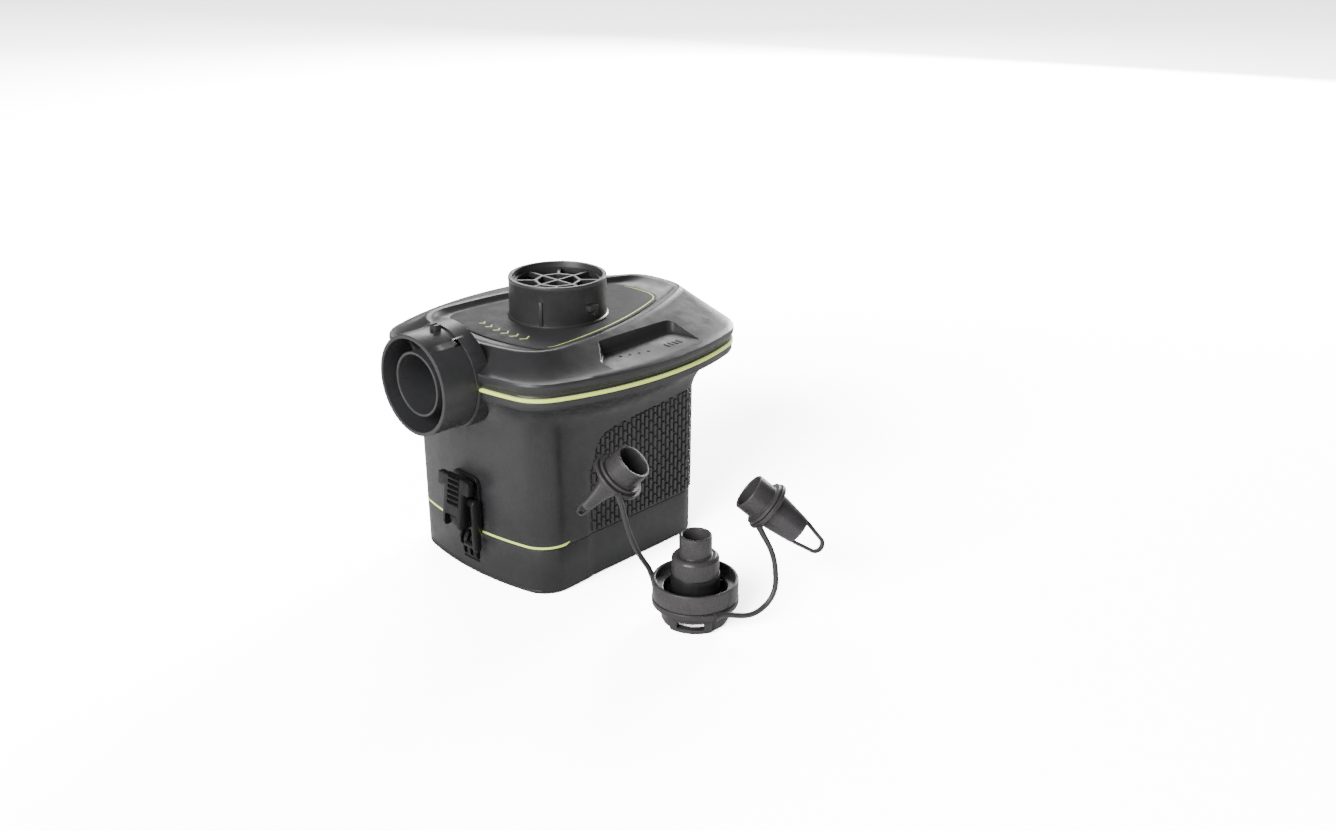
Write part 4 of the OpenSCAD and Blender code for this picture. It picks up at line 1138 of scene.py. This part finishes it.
LEFT_ROUTE = [
    (78.7, -20.4, 8.9), (77.9, -20.9, 12.2), (77.6, -22, 15.3), (77.5, -23.3, 18.3), (77.2, -25, 21.2),
    (76.9, -26.7, 24), (76.5, -28.3, 27), (76.1, -29.7, 30), (75.7, -30.9, 33), (75.3, -31.9, 36.2),
    (74.9, -32.7, 39.4), (74.7, -33.5, 42.6), (74.7, -34.4, 45.9), (74.7, -35.3, 49.1), (74.7, -36.3, 52.2),
    (74.6, -37.4, 55.4),
]
RIGHT_ROUTE = [
    (112.3, -22.2, 8.9), (113.3, -18.9, 9.1), (114.7, -15.9, 8.5), (116.3, -13, 7.6), (118, -10.1, 7),
    (119.5, -7.1, 7.1), (120.8, -4.2, 8.3), (121.8, -1.5, 10.2), (122.5, 0.7, 12.8), (122.7, 2.2, 15.8),
    (122.4, 3.1, 19.1), (121.7, 3.6, 22.4), (120.8, 4.1, 25.6), (119.6, 4.3, 28.8), (118.3, 4, 31.9),
    (117, 3.2, 34.9), (115.5, 2.4, 37.9), (113.9, 2, 40.8),
]


def tether_shape(route, root):
    """A moulded tether that is thicker where it leaves the strap and where it meets the ring."""
    path = smooth_path(route)
    n = len(path) - 1
    radii = [1.1 + root * math.exp(-i / 5) + 0.35 * math.exp(-(n - i) / 4) for i in range(n + 1)]
    return tube(path, radii)


def ring_shape(outer, inner, pose):
    profile = [(inner, 9.32), (outer - 0.3, 9.32), (outer, 9.6)]
    profile += [(outer, 10.7), (outer - 0.3, 10.98), (inner, 10.98)]
    return moved(turned(profile, 96), pose_matrix(pose))


def socket_profile(r, neck):
    """Outer side of the socket, from the bore's lip to the neck behind the tether ring."""
    side = [(6.65, 0.3), (6.9, 0), (r - 0.25, 0), (r, 0.3), (r, 7.55), (r + 0.25, 7.8)]
    side += [(9.5, 7.8), (9.8, 8.05)]
    return side + [(9.8, 8.95), (9.5, 9.2), (neck, 9.25), (neck, 10.95)]


def slim_shape():
    outer = smooth_path([(7.5, 10.95), (6.8, 12), (5.3, 16), (3.4, 22.6), (2.35, 31)], 4)
    inner = smooth_path([(1.4, 31), (2.3, 22.6), (4.2, 16), (6.65, 9.5)], 4)
    body = turned(socket_profile(8, 7.5) + outer[1:] + inner, 96)
    rise = [(-1.95, 30.3), (-1.7, 33), (-1.4, 34.9), (-0.8, 35.65)]
    tip = smooth_path([*rise, (0, 35.75), *[(-y, z) for y, z in reversed(rise)]], 3)
    return moved(combine(body, ribbon(tip, 0.85, 2.4), "UNION"), pose_matrix(SLIM_POSE))


def loop_shape():
    end, tip, middle = 26.4, 3.15, 35.4
    outer = smooth_path([(7.8, 10.95), (7.7, 12), (7.2, 16.5), (5.85, end)], 4)
    inner = [(5.6, end + 0.1), (4.9, end + 0.1), (4.75, end), (6.1, 16.5), (6.65, 12)]
    body = turned(socket_profile(7.85, 7.8) + outer[1:] + inner, 96)
    bow = [(-5.0, end - 1.2), (-4.6, 28.4), (-3.75, 32.4)]
    arc = [spot((0, middle), tip, 180 - a) for a in range(0, 181, 15)]
    path = bow + arc + [(-y, z) for y, z in reversed(bow)]
    return moved(combine(body, ribbon(path, 1.55, 2.6), "UNION"), pose_matrix(LOOP_POSE))


SET = "nozzle_set"
shown_for(["adapter_cup"], "adapter_body", cup_shape(), "nozzle_plastic", SET)
shown_for(["adapter_nozzle"], "adapter_spout", spout_shape(), "nozzle_plastic", SET)
shown_for(["adapter_seal"], "adapter_insert", insert_shape(), "black_plastic", SET)
shown_for(["strap_ring"], "strap_band", strap_shape(), "tether_plastic", SET)
shown_for(["tether_left"], "tether_left_bar", tether_shape(LEFT_ROUTE, 0.5), "tether_plastic", SET)
shown_for(["tether_right"], "tether_right_bar", tether_shape(RIGHT_ROUTE, 0.9), "tether_plastic", SET)
shown_for(["slim_tether_ring"], "slim_ring", ring_shape(11.15, 7.6, SLIM_POSE), "tether_plastic", SET)
shown_for(["loop_tether_ring"], "loop_ring", ring_shape(10.5, 7.9, LOOP_POSE), "tether_plastic", SET)
shown_for(["slim_nozzle"], "slim_cone", slim_shape(), "nozzle_plastic", SET)
shown_for(["loop_nozzle"], "loop_cone", loop_shape(), "nozzle_plastic", SET)

# ---- Floor and light ----


# How much brighter the camera sees the floor and the sky than they shine on the pump, for a white backdrop
FLOOR_GAIN = 10.0
AMBIENT = 0.16


def add_floor():
    reach = 9000
    corners = [(-reach, -reach, 0), (reach, -reach, 0), (reach, reach, 0), (-reach, reach, 0)]
    mesh = mesh_from("floor", corners, [(0, 1, 2, 3)])
    floor = bpy.data.objects.new("floor", mesh)
    bpy.context.collection.objects.link(floor)
    s = Shader("floor")
    seen = s.tree.nodes.new("ShaderNodeLightPath").outputs["Is Camera Ray"]
    tone = s.mix(s.spread(s.noise(3, 3), 0, 1), (0.86, 0.86, 0.86), (0.88, 0.88, 0.88))
    paper = s.node("ShaderNodeBsdfDiffuse", Roughness=0.5)
    s.link(s.mix(seen, tone, (FLOOR_GAIN, FLOOR_GAIN, FLOOR_GAIN)), paper.inputs["Color"])
    s.link(paper.outputs["BSDF"], s.tree.nodes["Material Output"].inputs["Surface"])
    mesh.materials.append(s.material)


def add_light(name, place_at, aim, size, power):
    data = bpy.data.lights.new(name, "AREA")
    data.shape = "RECTANGLE"
    data.size, data.size_y = size
    data.energy = power
    light = bpy.data.objects.new(name, data)
    bpy.context.collection.objects.link(light)
    light.location = place_at
    light.rotation_euler = (Vector(aim) - Vector(place_at)).to_track_quat("-Z", "Y").to_euler()


def add_world():
    world = bpy.data.worlds.new("studio")
    bpy.context.scene.world = world
    world.use_nodes = True
    tree = world.node_tree
    background = tree.nodes["Background"]
    background.inputs["Color"].default_value = (1, 1, 1, 1)
    seen = tree.nodes.new("ShaderNodeLightPath").outputs["Is Camera Ray"]
    strength = tree.nodes.new("ShaderNodeMapRange")
    strength.inputs["To Min"].default_value = AMBIENT
    strength.inputs["To Max"].default_value = AMBIENT * FLOOR_GAIN
    tree.links.new(seen, strength.inputs["Value"])
    tree.links.new(strength.outputs["Result"], background.inputs["Strength"])


add_floor()
add_world()
add_light("key", (0.25, -1.5, 0.8), (0, 0, 0.06), (1.2, 1.0), 46)
add_light("left", (-1.0, 0.7, 0.9), (0, 0, 0.1), (0.7, 0.7), 14)
add_light("sheen", (-0.4, 1.42, 0.5), (0.05, 0.04, 0.1), (0.5, 0.4), 34)
